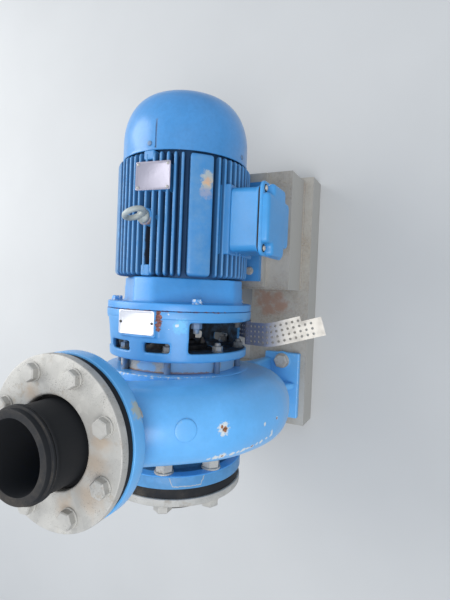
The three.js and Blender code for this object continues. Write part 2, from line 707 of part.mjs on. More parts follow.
const machine = new THREE.Group();
machine.position.z = AXIS_HEIGHT;
machine.add(
  piece("volute_casing", voluteCasing(), BLUE),
  piece("casing_cover", casingCover(), BARE_IRON),
  piece("seal_gland", sealGland(), BRIGHT_STEEL),
  piece("impeller", impeller(), BARE_IRON),
  piece("pump_shaft", pumpShaft(), BRIGHT_STEEL),
  piece("discharge_flange_adaptor", onDischarge(adaptorProfile(DISCHARGE_ADAPTOR)), BLACK_PLASTIC),
  piece("discharge_backing_ring", onDischarge(dischargeRing), GALVANISED),
  piece("suction_flange_adaptor", onSuction(adaptorProfile(SUCTION_ADAPTOR)), BLACK_PLASTIC),
  piece("suction_backing_ring", onSuction(suctionRing), GALVANISED),
  piece("lantern", lantern(), BLUE),
  piece("lantern_label_plate", lanternPlate(), LABEL_METAL),
  piece("window_guard_strip", guardStrip(), STAINLESS),
  piece("motor_drive_end_shield", drivingShield(), BLUE),
  piece("motor_frame", motorFrame(), DEEP_BLUE),
  piece("motor_fan_end_shield", fanShield(), DEEP_BLUE),
  piece("motor_cooling_fan", coolingFan(), BLACK_PLASTIC),
  piece("motor_fan_cowl", fanCowl(), BLUE),
  piece("motor_foot_near", motorFoot(-1), DEEP_BLUE),
  piece("motor_foot_far", motorFoot(1), DEEP_BLUE),
  piece("motor_label_plate", motorPlate(), LABEL_METAL),
  piece("lifting_eye", liftingEye(), GALVANISED),
  piece("terminal_box", roundedSlab(BOX, BOX_X, BOX_SEAT_Y, BOX_RIM_Y), BLUE),
  piece("terminal_box_lid", terminalLid(), BLUE),
  piece("cable_gland", cableGland(), BLACK_PLASTIC),
);

const pumpSet = new THREE.Group();
pumpSet.add(base, machine);

export default pumpSet;
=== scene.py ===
"""Close-coupled centrifugal pump set on a welded steel base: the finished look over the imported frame."""

from functools import wraps
from math import ceil, copysign, cos, degrees, pi, radians, sin, sqrt, tan, tanh

import bmesh
import bpy
from bpy.props import FloatProperty, FloatVectorProperty, IntProperty, PointerProperty
from bpy.types import Operator, Panel, PropertyGroup
from mathutils import Matrix, Vector, noise


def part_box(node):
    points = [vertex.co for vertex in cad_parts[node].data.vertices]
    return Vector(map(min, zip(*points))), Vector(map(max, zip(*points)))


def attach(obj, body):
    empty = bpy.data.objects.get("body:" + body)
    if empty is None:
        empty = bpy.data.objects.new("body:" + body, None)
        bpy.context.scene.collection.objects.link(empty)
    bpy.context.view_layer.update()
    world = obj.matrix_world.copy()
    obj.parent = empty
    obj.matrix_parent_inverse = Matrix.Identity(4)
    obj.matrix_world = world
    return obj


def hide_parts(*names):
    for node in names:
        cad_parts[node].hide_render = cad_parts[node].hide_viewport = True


bl_info = {
    "name": "Pump Set Finish",
    "version": (1, 0, 0),
    "blender": (4, 5, 0),
    "location": "View3D > Sidebar > Pump Set",
    "description": "Dresses the packed pump set with cast, pressed and moulded pieces and their finishes",
    "category": "Object",
}

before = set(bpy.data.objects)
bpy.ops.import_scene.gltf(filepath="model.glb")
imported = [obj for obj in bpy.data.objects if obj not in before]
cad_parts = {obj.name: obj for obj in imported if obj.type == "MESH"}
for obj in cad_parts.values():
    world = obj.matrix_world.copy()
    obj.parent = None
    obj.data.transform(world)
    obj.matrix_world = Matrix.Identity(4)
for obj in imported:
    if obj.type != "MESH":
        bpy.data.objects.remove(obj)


# Places that come from the frame, in metres

def middle(node, axis):
    """Centre of a frame node along one axis."""
    low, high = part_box(node)
    return (low[axis] + high[axis]) / 2


def reach(node, axis):
    """Half of a frame node's size along one axis."""
    low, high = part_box(node)
    return (high[axis] - low[axis]) / 2


def ends(node, axis):
    """Low and high station of a frame node along one axis."""
    low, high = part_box(node)
    return low[axis], high[axis]


AXIS_Z = middle("pump_shaft", 2)
BASE_TOP = ends("base_rail_near", 2)[1]

DISCHARGE_FACE_Z, DISCHARGE_END_Z = ends("discharge_flange_adaptor", 2)
DISCHARGE_R = reach("discharge_backing_ring", 0)
DISCHARGE_ADAPTOR_R = reach("discharge_flange_adaptor", 0)
DISCHARGE_RING_Z = ends("discharge_backing_ring", 2)
SUCTION_END_X, SUCTION_FACE_X = ends("suction_flange_adaptor", 0)
SUCTION_R = reach("suction_backing_ring", 1)
SUCTION_ADAPTOR_R = reach("suction_flange_adaptor", 1)
SUCTION_RING_X = ends("suction_backing_ring", 0)

COVER_R = reach("casing_cover", 1)
LANTERN_FRONT_X, JOINT_X = ends("lantern", 0)
SHIELD_END_X = ends("motor_drive_end_shield", 0)[1]
MOTOR_FLANGE_R = reach("motor_drive_end_shield", 1)
CORE_END_X = ends("motor_frame", 0)[1]
FIN_R = reach("motor_frame", 1)
COWL_EDGE_X, COWL_END_X = ends("motor_fan_cowl", 0)
COWL_R = reach("motor_fan_cowl", 1)
FEET_Z = ends("motor_foot_near", 2)[0]
EYE_X = middle("lifting_eye", 0)
EYE_SEAT_Z = ends("lifting_eye", 2)[0]
BOX_X = middle("terminal_box", 0)

# Places on the castings that the boxes of the frame don't give
CASING_FRONT_X = 0.068
CASING_RING_R = 0.150
CASING_RING_T = 0.014
FLANGE_T = 0.024
DISCHARGE_BORE_R = 0.062
SUCTION_BORE_R = 0.074
SUCTION_NECK_R = 0.092
SPIGOT_BORE_R = 0.1176
CHAMBER_X = (-0.030, 0.034)
CHAMBER_R = 0.126
FIN_END_X = 0.477
SHIELD_BODY_R = 0.135
SHIELD_FLAT = 0.110
CORE_R = 0.112
FOOT_X = (-0.080, 0.080)
FOOT_Y = (0.112, 0.200)
FOOT_T = 0.018


# Sizes and colours that a user would change

def length(name, description, default):
    return FloatProperty(
        name=name, description=description, default=default, min=0.0, unit="LENGTH", precision=4)


def tint(name, description, default):
    return FloatVectorProperty(
        name=name, description=description, default=default, size=3, min=0.0, max=1.0, subtype="COLOR")


def power(name, description, default):
    return FloatProperty(name=name, description=description, default=default, min=0.0, unit="POWER")


def share(name, description, default):
    return FloatProperty(
        name=name, description=description, default=default, min=0.0, max=1.0, subtype="FACTOR")


class PumpSetColours(PropertyGroup):
    casting: tint("Casting blue", "Light blue enamel of the casing", (0.105, 0.400, 0.780))
    box: tint("Box blue", "Light blue enamel of the terminal box", (0.041, 0.280, 0.610))
    motor: tint("Motor blue", "Deeper blue enamel of the motor and its shields", (0.040, 0.225, 0.510))
    primer: tint("Primer", "Pale undercoat that shows in the chips", (0.640, 0.680, 0.680))
    rust: tint("Rust", "Orange brown of the rusted patches", (0.230, 0.085, 0.030))
    dust: tint("Dust", "Earth dust on what faces up", (0.350, 0.285, 0.210))
    zinc: tint("Zinc", "Dull zinc of the rings, bolts and eye", (0.440, 0.425, 0.390))
    plastic: tint("Pipe plastic", "Black moulded plastic of the flange adaptors", (0.020, 0.021, 0.023))
    steelwork: tint("Steelwork", "Weathered steel of the base", (0.255, 0.200, 0.145))
    plate: tint("Plate", "Bare label sheet", (0.720, 0.710, 0.730))


class PumpSetWear(PropertyGroup):
    chips: share("Chips", "How much enamel is lost along the edges", 0.35)
    dust: share("Dust", "How much dust lies on what faces up", 0.30)
    fading: share("Fading", "How far the enamel has chalked in patches", 0.35)


class PumpSetCasting(PropertyGroup):
    grain: length("Casting grain", "Cell size of the mesh that rounds the castings' inner corners", 0.0030)
    fin_root: length("Fin root", "Thickness of a fin where it leaves the shell", 0.0066)
    fin_tip: length("Fin tip", "Thickness of a fin near its edge", 0.0056)
    edge: length("Edge rounding", "Radius of the machined edges", 0.0015)


class PumpSetHardware(PropertyGroup):
    discharge_bolt: length("Discharge bolt", "Thread size of the discharge ring's bolts", 0.016)
    discharge_circle: length("Discharge circle", "Radius of the discharge ring's bolt circle", 0.105)
    suction_bolt: length("Suction bolt", "Thread size of the suction ring's bolts", 0.020)
    suction_circle: length("Suction circle", "Radius of the suction ring's bolt circle", 0.120)
    casing_stud: length("Casing stud", "Thread size of the studs between casing and lantern", 0.012)
    casing_circle: length("Casing circle", "Radius of the casing's stud circle", 0.126)
    motor_bolt: length("Motor bolt", "Thread size of the motor flange's bolts", 0.012)
    motor_circle: length("Motor circle", "Radius of the motor flange's bolt circle", 0.1325)
    pump_foot_bolt: length("Pump foot bolt", "Thread size of the bolts in the casing's feet", 0.020)
    motor_foot_bolt: length("Motor foot bolt", "Thread size of the bolts in the motor's feet", 0.010)
    ring_bolts: IntProperty(
        name="Ring bolts", description="Bolts in each pipe ring", default=8, min=4, max=16)


class PumpSetStudio(PropertyGroup):
    floor: tint("Floor", "Plain pale floor", (0.520, 0.520, 0.510))
    sky: tint("Sky", "Even light from all round", (0.800, 0.880, 1.000))
    sky_strength: FloatProperty(
        name="Sky strength", description="Strength of the even light", default=0.75, min=0.0)
    key_power: power("Key power", "Power of the large overhead light", 40.0)
    fill_power: power("Fill power", "Power of the side light", 30.0)


SETTINGS = {
    "pump_colours": PumpSetColours,
    "pump_wear": PumpSetWear,
    "pump_casting": PumpSetCasting,
    "pump_hardware": PumpSetHardware,
    "pump_studio": PumpSetStudio,
}


# Shader trees

class Value:
    """A value in a shader tree, with plain arithmetic; the other side may be a number."""

    def __init__(self, tree, socket):
        self.tree = tree
        self.socket = socket

    def joined(self, operation, a, b=0.0):
        return put(self.tree, "ShaderNodeMath", {0: a, 1: b}, operation=operation)[0]

    def __add__(self, other):
        return self.joined("ADD", self, other)

    def __sub__(self, other):
        return self.joined("SUBTRACT", self, other)

    def __rsub__(self, other):
        return self.joined("SUBTRACT", other, self)

    def __mul__(self, other):
        return self.joined("MULTIPLY", self, other)

    __rmul__ = __mul__

    def __truediv__(self, other):
        return self.joined("DIVIDE", self, other)

    def __abs__(self):
        return self.joined("ABSOLUTE", self)

    def __gt__(self, other):
        return self.joined("GREATER_THAN", self, other)

    def __lt__(self, other):
        return self.joined("LESS_THAN", self, other)

    def root(self):
        return self.joined("SQRT", self)

    def most(self, other):
        return self.joined("MAXIMUM", self, other)

    def between(self, low, high, out_low=0.0, out_high=1.0):
        """A smooth change from out_low to out_high while the value goes from low to high."""
        sockets = {"Value": self, "From Min": low, "From Max": high, "To Min": out_low, "To Max": out_high}
        return put(self.tree, "ShaderNodeMapRange", sockets, interpolation_type="SMOOTHSTEP")[0]


class Outputs:
    """The outputs of a node by number or name, each as a Value."""

    def __init__(self, tree, node):
        self.tree = tree
        self.node = node

    def __getitem__(self, key):
        return Value(self.tree, self.node.outputs[key])


def connect(tree, value, socket):
    """Feeds a socket with a Value, or sets it to a number, colour or vector."""
    if isinstance(value, Value):
        tree.links.new(value.socket, socket)
    else:
        socket.default_value = value


def put(tree, kind, sockets=None, **settings):
    """Adds a node and returns its outputs."""
    node = tree.nodes.new(kind)
    for name, value in settings.items():
        setattr(node, name, value)
    for key, value in (sockets or {}).items():
        connect(tree, value, node.inputs[key])
    return Outputs(tree, node)


def rgba(colour):
    return (*colour[:3], 1.0)


def shade(colour, factor):
    return [min(1.0, c * factor) for c in colour]


def halfway(a, b):
    return [(p + q) / 2 for p, q in zip(a, b)]


def mixed(tree, factor, a, b):
    """A colour mix of two colours or Values."""
    a, b = (side if isinstance(side, Value) else rgba(side) for side in (a, b))
    return put(tree, "ShaderNodeMix", {0: factor, 6: a, 7: b}, data_type="RGBA")[2]


def blended(tree, factor, a, b):
    """A number mix of two numbers or Values."""
    return put(tree, "ShaderNodeMix", {0: factor, 2: a, 3: b}, data_type="FLOAT")[0]


def coated(tree, body, *layers):
    """Lays (mask, colour) layers over a colour one by one; a layer whose mask is a plain 0 is left out."""
    for mask, colour in layers:
        if isinstance(mask, Value):
            body = mixed(tree, mask, body, colour)
    return body


def any_of(*masks):
    """The union of the masks that are there; a plain 0 if none is."""
    whole = 0.0
    for mask in masks:
        if isinstance(mask, Value):
            whole = mask.most(whole) if isinstance(whole, Value) else mask
    return whole


def place(tree):
    """Coordinates in the object's own frame, in metres."""
    return put(tree, "ShaderNodeTexCoord")["Object"]


def split(tree, vector):
    """The three parts of a vector."""
    return put(tree, "ShaderNodeSeparateXYZ", {0: vector})


def geometry(tree, name):
    return put(tree, "ShaderNodeNewGeometry")[name]


def cloud(tree, scale, detail=4.0, roughness=0.55, stretch=None):
    """Noise over the surface, stretched along the axes if asked."""
    where = place(tree)
    if stretch:
        where = put(tree, "ShaderNodeMapping", {"Vector": where, "Scale": stretch})[0]
    sockets = {"Vector": where, "Scale": scale, "Detail": detail, "Roughness": roughness}
    return put(tree, "ShaderNodeTexNoise", sockets)[0]


def relief(tree, height, distance, strength):
    return put(tree, "ShaderNodeBump", {"Height": height, "Distance": distance, "Strength": strength})[0]


# Shared effects, each a shader group

def shader_group(outputs=("Mask",), **inputs):
    """Turns a function of a tree and its inputs into a shader group, which is made at its first use."""
    def wrap(build):
        def made():
            group = bpy.data.node_groups.new(build.__name__, "ShaderNodeTree")
            for name, default in inputs.items():
                kind = "NodeSocketVector" if isinstance(default, tuple) else "NodeSocketFloat"
                socket = group.interface.new_socket(name=name.title(), in_out="INPUT", socket_type=kind)
                socket.default_value = default
            for name in outputs:
                group.interface.new_socket(name=name, in_out="OUTPUT", socket_type="NodeSocketFloat")
            given = put(group, "NodeGroupInput")
            results = build(group, **{name: given[name.title()] for name in inputs})
            if isinstance(results, Value):
                results = (results,)
            put(group, "NodeGroupOutput", dict(zip(outputs, results)))
            return group

        @wraps(build)
        def used(tree, **values):
            group = bpy.data.node_groups.get(build.__name__) or made()
            node = put(tree, "ShaderNodeGroup", node_tree=group)
            for name, value in values.items():
                connect(tree, value, node.node.inputs[name.title()])
            return node[0] if len(outputs) == 1 else node
        return used
    return wrap


@shader_group(amount=0.3, scale=90.0)
def edge_wear(tree, amount, scale):
    """Mask of the raised edges, broken up by noise."""
    raised = geometry(tree, "Pointiness").between(0.515, 0.585)
    limit = 0.90 - amount * 0.45
    whole = raised * 0.30 + cloud(tree, scale, 6.0, 0.70)
    return whole.between(limit, limit + 0.04) * raised


@shader_group(amount=0.5, scale=40.0)
def corner_dirt_and_shade(tree, amount, scale):
    """Mask of the inner corners, where dirt gathers and where painted shade darkens them."""
    sunk = geometry(tree, "Pointiness").between(0.492, 0.430)
    patchy = cloud(tree, scale, 5.0, 0.6).between(0.30, 0.62, 0.35, 1.0)
    return sunk * patchy * amount


@shader_group(amount=0.3, scale=9.0)
def settled_dust(tree, amount, scale):
    """Mask of the dust that lies on what faces up, thicker in patches."""
    lying = split(tree, geometry(tree, "Normal"))[2].between(0.35, 0.98)
    patchy = cloud(tree, scale, 6.0, 0.62).between(0.34, 0.70)
    gritty = cloud(tree, 420.0, 2.0, 0.5).between(0.35, 0.75, 0.55, 1.0)
    return lying * patchy * gritty * amount


@shader_group(outputs=("Distance", "Station", "Sine", "Cosine"))
def shaft_polar(tree):
    """Distance from the shaft axis, station along it, and the sine and cosine of the angle about it."""
    part = split(tree, place(tree))
    rise = part[2] - AXIS_Z
    away = (part[1] * part[1] + rise * rise).root()
    return away, part[0], rise / away, part[1] / away


@shader_group(station=0.0, radius=0.15, width=0.002, sine=1.0, cosine=0.0, spread=0.9, cover=0.5)
def shaft_band(tree, station, radius, width, sine, cosine, spread, cover):
    """Mask of a ragged band at one station along the shaft, over part of the way round."""
    polar = shaft_polar(tree)
    near = abs(polar["Station"] - station).most(abs(polar["Distance"] - radius)) / width
    facing_it = polar["Sine"] * sine + polar["Cosine"] * cosine
    within = facing_it.between(spread, spread + 0.02)
    rag = cloud(tree, 160.0, 5.0, 0.7) - (1.0 - cover)
    return (rag * 5.0 - near).between(-0.9, -0.6) * within


@shader_group(low=0.0, high=1.0, radius=0.1)
def inner_shade(tree, low, high, radius):
    """Mask of what lies within a distance of the shaft, between two stations, where painted shade darkens the
    recesses.
    """
    polar = shaft_polar(tree)
    near = polar["Distance"].between(radius, radius - 0.004)
    above = polar["Station"].between(low, low + 0.002)
    below = polar["Station"].between(high, high - 0.002)
    patchy = cloud(tree, 55.0, 5.0, 0.6).between(0.25, 0.60, 0.72, 1.0)
    return above * below * near * patchy


@shader_group(radius=0.14, low=0.0, high=1.0, sine=1.0, cosine=0.0, half=0.03)
def rim_pad(tree, radius, low, high, sine, cosine, half):
    """Mask of the outline of a pad on a rim about the shaft, open towards the motor."""
    polar = shaft_polar(tree)
    across = polar["Sine"] * cosine - polar["Cosine"] * sine
    rise = polar["Station"] - low
    border = (abs(across) * radius - half - rise * 0.45).most(rise * -1.0)
    rag = (cloud(tree, 260.0, 5.0, 0.7) - 0.5) * 0.006
    line = abs(border + rag).between(0.001, 0.0006)
    facing_it = polar["Sine"] * sine + polar["Cosine"] * cosine
    there = (facing_it > 0.9) * (polar["Station"] < high)
    return line * there * (polar["Distance"] > radius - 0.002)


@shader_group(centre=(0.0, 0.0, 0.0), radius=0.01, scale=120.0, rag=0.6, soft=0.28)
def ragged_spot(tree, centre, radius, scale, rag, soft):
    """Mask of one patch round a place, with a ragged rim."""
    away = put(tree, "ShaderNodeVectorMath", {0: place(tree), 1: centre}, operation="DISTANCE")[1]
    ragged = (cloud(tree, scale, 5.0, 0.7) - 0.5) * rag
    return (away / radius + ragged * 4.0).between(1.0, 1.0 - soft)


@shader_group(outputs=("Height",))
def cast_skin(tree):
    """Height of a painted casting: a slow wave, orange peel and a few pits."""
    pits = cloud(tree, 130.0, 4.0, 0.6).between(0.30, 0.38)
    return cloud(tree, 28.0, 2.0, 0.5) * 1.2 + cloud(tree, 260.0, 3.0, 0.55) * 0.35 + pits * 0.25


@shader_group(outputs=("Mask", "Shade"), amount=0.2, scale=14.0)
def rust_bloom(tree, amount, scale):
    """Rust mask with its own light and dark, from slow and fine noise."""
    fine = cloud(tree, scale * 9.0, 4.0, 0.6)
    both = cloud(tree, scale, 5.0, 0.62) * 0.7 + fine * 0.3
    limit = 0.72 - amount * 0.45
    return both.between(limit, limit + 0.07), fine.between(0.30, 0.70)


def gathered(tree, spots, scale, rag, soft=0.28):
    """The union of ragged spots, each given as (place, radius)."""
    return any_of(*(ragged_spot(tree, centre=centre, radius=radius, scale=scale, rag=rag, soft=soft)
                    for centre, radius in spots))


def facing(angle):
    """The sine and cosine of an angle in degrees, as inputs of a shader group."""
    return {"sine": sin(radians(angle)), "cosine": cos(radians(angle))}


def banded(tree, bands):
    """The union of ragged bands, each given as (station, radius, width, angle, half angle, cover)."""
    return any_of(*(shaft_band(tree, station=station, radius=radius, width=width, **facing(angle),
                               spread=cos(radians(spread)), cover=cover)
                    for station, radius, width, angle, spread, cover in bands))


def outlined(tree, pads):
    """The union of pad outlines, each given as (low station, high station, radius, angle, half width)."""
    return any_of(*(rim_pad(tree, radius=radius, low=low, high=high, half=half, **facing(angle))
                    for low, high, radius, angle, half in pads))


def recess_shade_mask(tree, recesses):
    """The union of recesses darkened with painted shade, each given as (low station, high station, radius,
    share).
    """
    return any_of(*(inner_shade(tree, low=low, high=high, radius=radius) * part
                    for low, high, radius, part in recesses))


def outward_facing(tree):
    """How far the surface faces away from the shaft axis: 1 straight outwards, 0 sideways."""
    polar = shaft_polar(tree)
    normal = split(tree, geometry(tree, "Normal"))
    return normal[1] * polar["Cosine"] + normal[2] * polar["Sine"]


# Materials

# Near black painted into recesses as painted shade.
RECESS_SHADE_BLACK = (0.008, 0.009, 0.012)
# Near black painted over the slits at the shield's joint, as painted shade.
SLIT_SHADE_BLACK = (0.006, 0.007, 0.010)
GROOVE_BLACK_TONE = (0.010, 0.009, 0.011)
FIN_TIP_GREY = (0.190, 0.330, 0.450)
# Dark blue painted between the fins as painted shade.
FIN_GAP_SHADE = (0.005, 0.027, 0.085)
TAN_DIRT = (0.480, 0.360, 0.250)
WORN_STEEL = (0.400, 0.385, 0.350)
RAIL_BROWN = (0.330, 0.180, 0.125)
SCUFF_GREY = (0.045, 0.044, 0.043)


def material_maker(build):
    """Turns a function of a tree into the maker of a named material, which is made at its first use."""
    @wraps(build)
    def made(name, *values, **settings):
        if name not in bpy.data.materials:
            material = bpy.data.materials.new(name)
            material.use_nodes = True
            build(material.node_tree, *values, **settings)
        return bpy.data.materials[name]
    return made


def feed(tree, **sockets):
    """Feeds the sockets of the material's Principled shader."""
    shader = tree.nodes["Principled BSDF"]
    for name, value in sockets.items():
        connect(tree, value, shader.inputs[name.replace("_", " ").title().replace("Ior", "IOR")])


@material_maker
def enamel(tree, colour, chips=(), rust=(), stains=(), soot=(), tints=(), chipped_bands=(), rusty_bands=(),
           dark_bands=(), pads=(), recesses=(), fin_tips=None, wear=1.0, dust=1.0, gloss=0.34, mottled=0.16,
           rust_tone=None, coat=0.12):
    """Brushed gloss enamel on iron: faded in patches, chipped to its undercoat and rusting where told; its
    inner corners carry dirt and painted shade, and recesses and slits get painted shade where told.

    fin_tips is the radius near which the enamel is patchily grey, while well inside it, and on the sides of
    the fins, painted shade darkens it.
    """
    colours = bpy.context.scene.pump_colours
    habits = bpy.context.scene.pump_wear
    pale = [min(1.0, c * 1.16 + 0.015) for c in colour]
    deep = shade(colour, 0.80)
    patch = cloud(tree, 7.0, 5.0, 0.6).between(0.32, 0.72)
    streak = cloud(tree, 30.0, 3.0, 0.5, stretch=(1.0, 1.0, 0.25)).between(0.34, 0.78)
    mottle = cloud(tree, 140.0, 4.0, 0.62).between(0.35, 0.70)
    tinged = [(gathered(tree, [(centre, radius)], 130.0, 0.55, 0.6) * 0.85, tinge)
              for centre, radius, tinge in tints]

    worn = edge_wear(tree, amount=habits.chips * wear, scale=150.0) if wear else 0.0
    chipped = any_of(
        worn, gathered(tree, chips, 190.0, 0.70), banded(tree, chipped_bands), outlined(tree, pads))
    bloom = rust_bloom(tree, amount=0.25, scale=30.0)
    tone = rust_tone or colours.rust
    rusty = mixed(tree, bloom["Shade"], shade(tone, 0.45), shade(tone, 1.7))
    eaten = any_of(gathered(tree, rust, 150.0, 0.5), banded(tree, rusty_bands), worn * bloom["Mask"])

    # A dark earth tone for the stains; over the inner corners it is dirt and painted shade.
    mud_and_shade_tone = shade(colours.dust, 0.28)
    dirt_shade_mask = corner_dirt_and_shade(tree, amount=0.70, scale=40.0)
    laid = settled_dust(tree, amount=min(1.0, habits.dust * dust), scale=11.0)
    # Painted shade inside the recesses.
    painted_shade = recess_shade_mask(tree, recesses)
    body = coated(
        tree, colour, (patch * (habits.fading * 2.0), pale), (streak * 0.28, deep), (mottle * mottled, deep),
        *tinged, (chipped, colours.primer), (eaten, rusty), (dirt_shade_mask, mud_and_shade_tone),
        (gathered(tree, stains, 60.0, 0.5, 0.9) * 0.55, mud_and_shade_tone), (banded(tree, dark_bands), SLIT_SHADE_BLACK),
        (laid, colours.dust), (painted_shade, RECESS_SHADE_BLACK))
    if fin_tips:
        away = shaft_polar(tree)["Distance"]
        greyed = cloud(tree, 38.0, 6.0, 0.65).between(0.30, 0.72)
        on_tips = away.between(fin_tips - 0.004, fin_tips) * greyed
        # Painted shade deep between the fins and on the sides of the fins.
        sunk = away.between(fin_tips - 0.0020, fin_tips - 0.0130) * 0.82
        painted_shade = sunk.most(outward_facing(tree).between(0.85, 0.25) * 0.62)
        body = coated(tree, body, (on_tips * 0.35, FIN_TIP_GREY), (painted_shade, FIN_GAP_SHADE))
    body = coated(tree, body, (gathered(tree, soot, 90.0, 0.25, 0.35) * 0.92, GROOVE_BLACK_TONE))

    flat_out = any_of(eaten, dirt_shade_mask, painted_shade, laid)
    dull = blended(tree, flat_out, blended(tree, patch, gloss, gloss + 0.12), 0.85)
    height = cast_skin(tree) - any_of(chipped, eaten) * 0.5
    feed(tree, base_color=body, roughness=dull, metallic=0.0, normal=relief(tree, height, 0.0006, 0.55),
         coat_weight=blended(tree, flat_out, coat, 0.0), coat_roughness=0.18)


@material_maker
def zinc_coat(tree, dirt=0.35, spots=(), tone=None):
    """Old hot-dipped zinc: faint spangle, a chalky bloom and brown dirt."""
    colours = bpy.context.scene.pump_colours
    tone = tone or colours.zinc
    cells = put(tree, "ShaderNodeTexVoronoi", {"Vector": place(tree), "Scale": 70.0})["Color"]
    spangle = put(tree, "ShaderNodeSeparateColor", {0: cells})[0]
    bloom = cloud(tree, 16.0, 6.0, 0.65).between(0.40, 0.68)
    brown = rust_bloom(tree, amount=dirt, scale=13.0)
    earth = mixed(tree, brown["Shade"], shade(colours.dust, 0.55), shade(colours.dust, 1.05))
    thick = cloud(tree, 28.0, 4.0, 0.6).between(0.40, 0.62)
    pepper = cloud(tree, 520.0, 4.0, 0.75).between(0.56, 0.64)
    # Inner corners darkened by dirt and by painted shade.
    dirt_shade_mask = corner_dirt_and_shade(tree, amount=0.80, scale=50.0)
    body = coated(
        tree, shade(tone, 0.93), (spangle, shade(tone, 1.07)), (bloom * 0.7, shade(tone, 1.30)),
        (brown["Mask"] * 0.45, earth), (gathered(tree, spots, 60.0, 0.35, 0.95) * 0.60, TAN_DIRT),
        (pepper * thick * 0.65, shade(colours.dust, 0.16)), (dirt_shade_mask, shade(colours.dust, 0.25)))
    rough = blended(tree, any_of(brown["Mask"], dirt_shade_mask), blended(tree, spangle, 0.50, 0.60), 0.85)
    height = cloud(tree, 180.0, 4.0, 0.6) + brown["Mask"] * 0.4
    feed(tree, base_color=body, roughness=rough, metallic=blended(tree, brown["Mask"], 0.22, 0.0),
         normal=relief(tree, height, 0.0005, 0.5))


@material_maker
def steel(tree, colour, rusting, roughness, metallic=0.9, paint=None, paint_at=(), orange=0.0, recesses=()):
    """Plain steel that has rusted by the share given, with patches of paint or an orange line if asked, and
    painted shade in its recesses.
    """
    colours = bpy.context.scene.pump_colours
    bloom = rust_bloom(tree, amount=rusting, scale=26.0)
    rusty = mixed(tree, bloom["Shade"], shade(colours.rust, 0.4), shade(colours.rust, 1.3))
    grain = cloud(tree, 240.0, 4.0, 0.6).between(0.3, 0.7)
    smear, line = 0.0, 0.0
    if paint:
        smear = gathered(tree, paint_at, 40.0, 0.35, 0.3) or cloud(tree, 11.0, 4.0, 0.5).between(0.50, 0.54)
    if orange:
        line = banded(tree, [(orange, COVER_R, 0.0018, 92.0, 60.0, 0.58)])
    # Painted shade inside the recesses, where the steel also loses its metallic sheen.
    deep = recess_shade_mask(tree, recesses)
    body = coated(
        tree, shade(colour, 0.8), (grain, colour), (bloom["Mask"], rusty), (smear * 0.85, paint),
        (line * 0.65, shade(colours.rust, 1.6)),
        # Inner corners darkened by dirt and by painted shade.
        (corner_dirt_and_shade(tree, amount=0.80, scale=50.0), shade(colours.dust, 0.18)),
        (settled_dust(tree, amount=0.35, scale=20.0), colours.dust), (deep, RECESS_SHADE_BLACK))
    flat_out = any_of(bloom["Mask"], deep)
    rough = blended(tree, flat_out, blended(tree, grain, roughness, roughness + 0.15), 0.95)
    height = cloud(tree, 300.0, 4.0, 0.65) + bloom["Mask"] * 0.8
    feed(tree, base_color=body, roughness=rough, metallic=blended(tree, flat_out, metallic, 0.0),
         normal=relief(tree, height, 0.0003, 0.6))


@material_maker
def plastic(tree, dusty=0.28):
    """Black moulded plastic with scuffs and a film of dust."""
    colours = bpy.context.scene.pump_colours
    scuff = cloud(tree, 60.0, 6.0, 0.7, stretch=(1.0, 1.0, 4.0)).between(0.56, 0.76)
    film = settled_dust(tree, amount=dusty, scale=16.0)
    body = coated(tree, colours.plastic, (scuff * 0.20, SCUFF_GREY), (film, shade(colours.dust, 0.7)))
    rough = blended(tree, any_of(scuff, film), 0.60, 0.78)
    feed(tree, base_color=body, roughness=rough, metallic=0.0, specular_ior_level=0.12,
         normal=relief(tree, cloud(tree, 220.0, 3.0, 0.5), 0.0003, 0.4))


@material_maker
def label_sheet(tree, colour):
    """Bare label sheet: a brushed sheen and fine scratches."""
    brushed = cloud(tree, 90.0, 3.0, 0.6, stretch=(14.0, 1.0, 1.0))
    scratch = cloud(tree, 130.0, 2.0, 0.4, stretch=(1.0, 9.0, 1.0)).between(0.66, 0.72)
    body = coated(tree, shade(colour, 0.86), (brushed, colour), (scratch * 0.4, shade(colour, 0.55)))
    feed(tree, base_color=body, roughness=blended(tree, brushed, 0.28, 0.46), metallic=0.55,
         normal=relief(tree, brushed - scratch, 0.0002, 0.4))


@material_maker
def stainless(tree):
    """Thin stainless sheet, water-marked, with a painted reflection along it: bright at its free end, dark
    and bluer towards the lantern.
    """
    outward = split(tree, place(tree))[1].between(GUARD_DARK_REFLECTION_Y, GUARD_BRIGHT_REFLECTION_Y)
    marked = cloud(tree, 45.0, 6.0, 0.65).between(0.40, 0.70)
    inner = mixed(tree, marked, (0.108, 0.130, 0.205), (0.130, 0.130, 0.140))
    outer = mixed(tree, marked, (0.480, 0.450, 0.400), (0.410, 0.380, 0.335))
    feed(tree, base_color=mixed(tree, outward, inner, outer), roughness=blended(tree, marked, 0.42, 0.56),
         metallic=0.45, normal=relief(tree, cloud(tree, 24.0, 3.0, 0.5), 0.0010, 0.35))


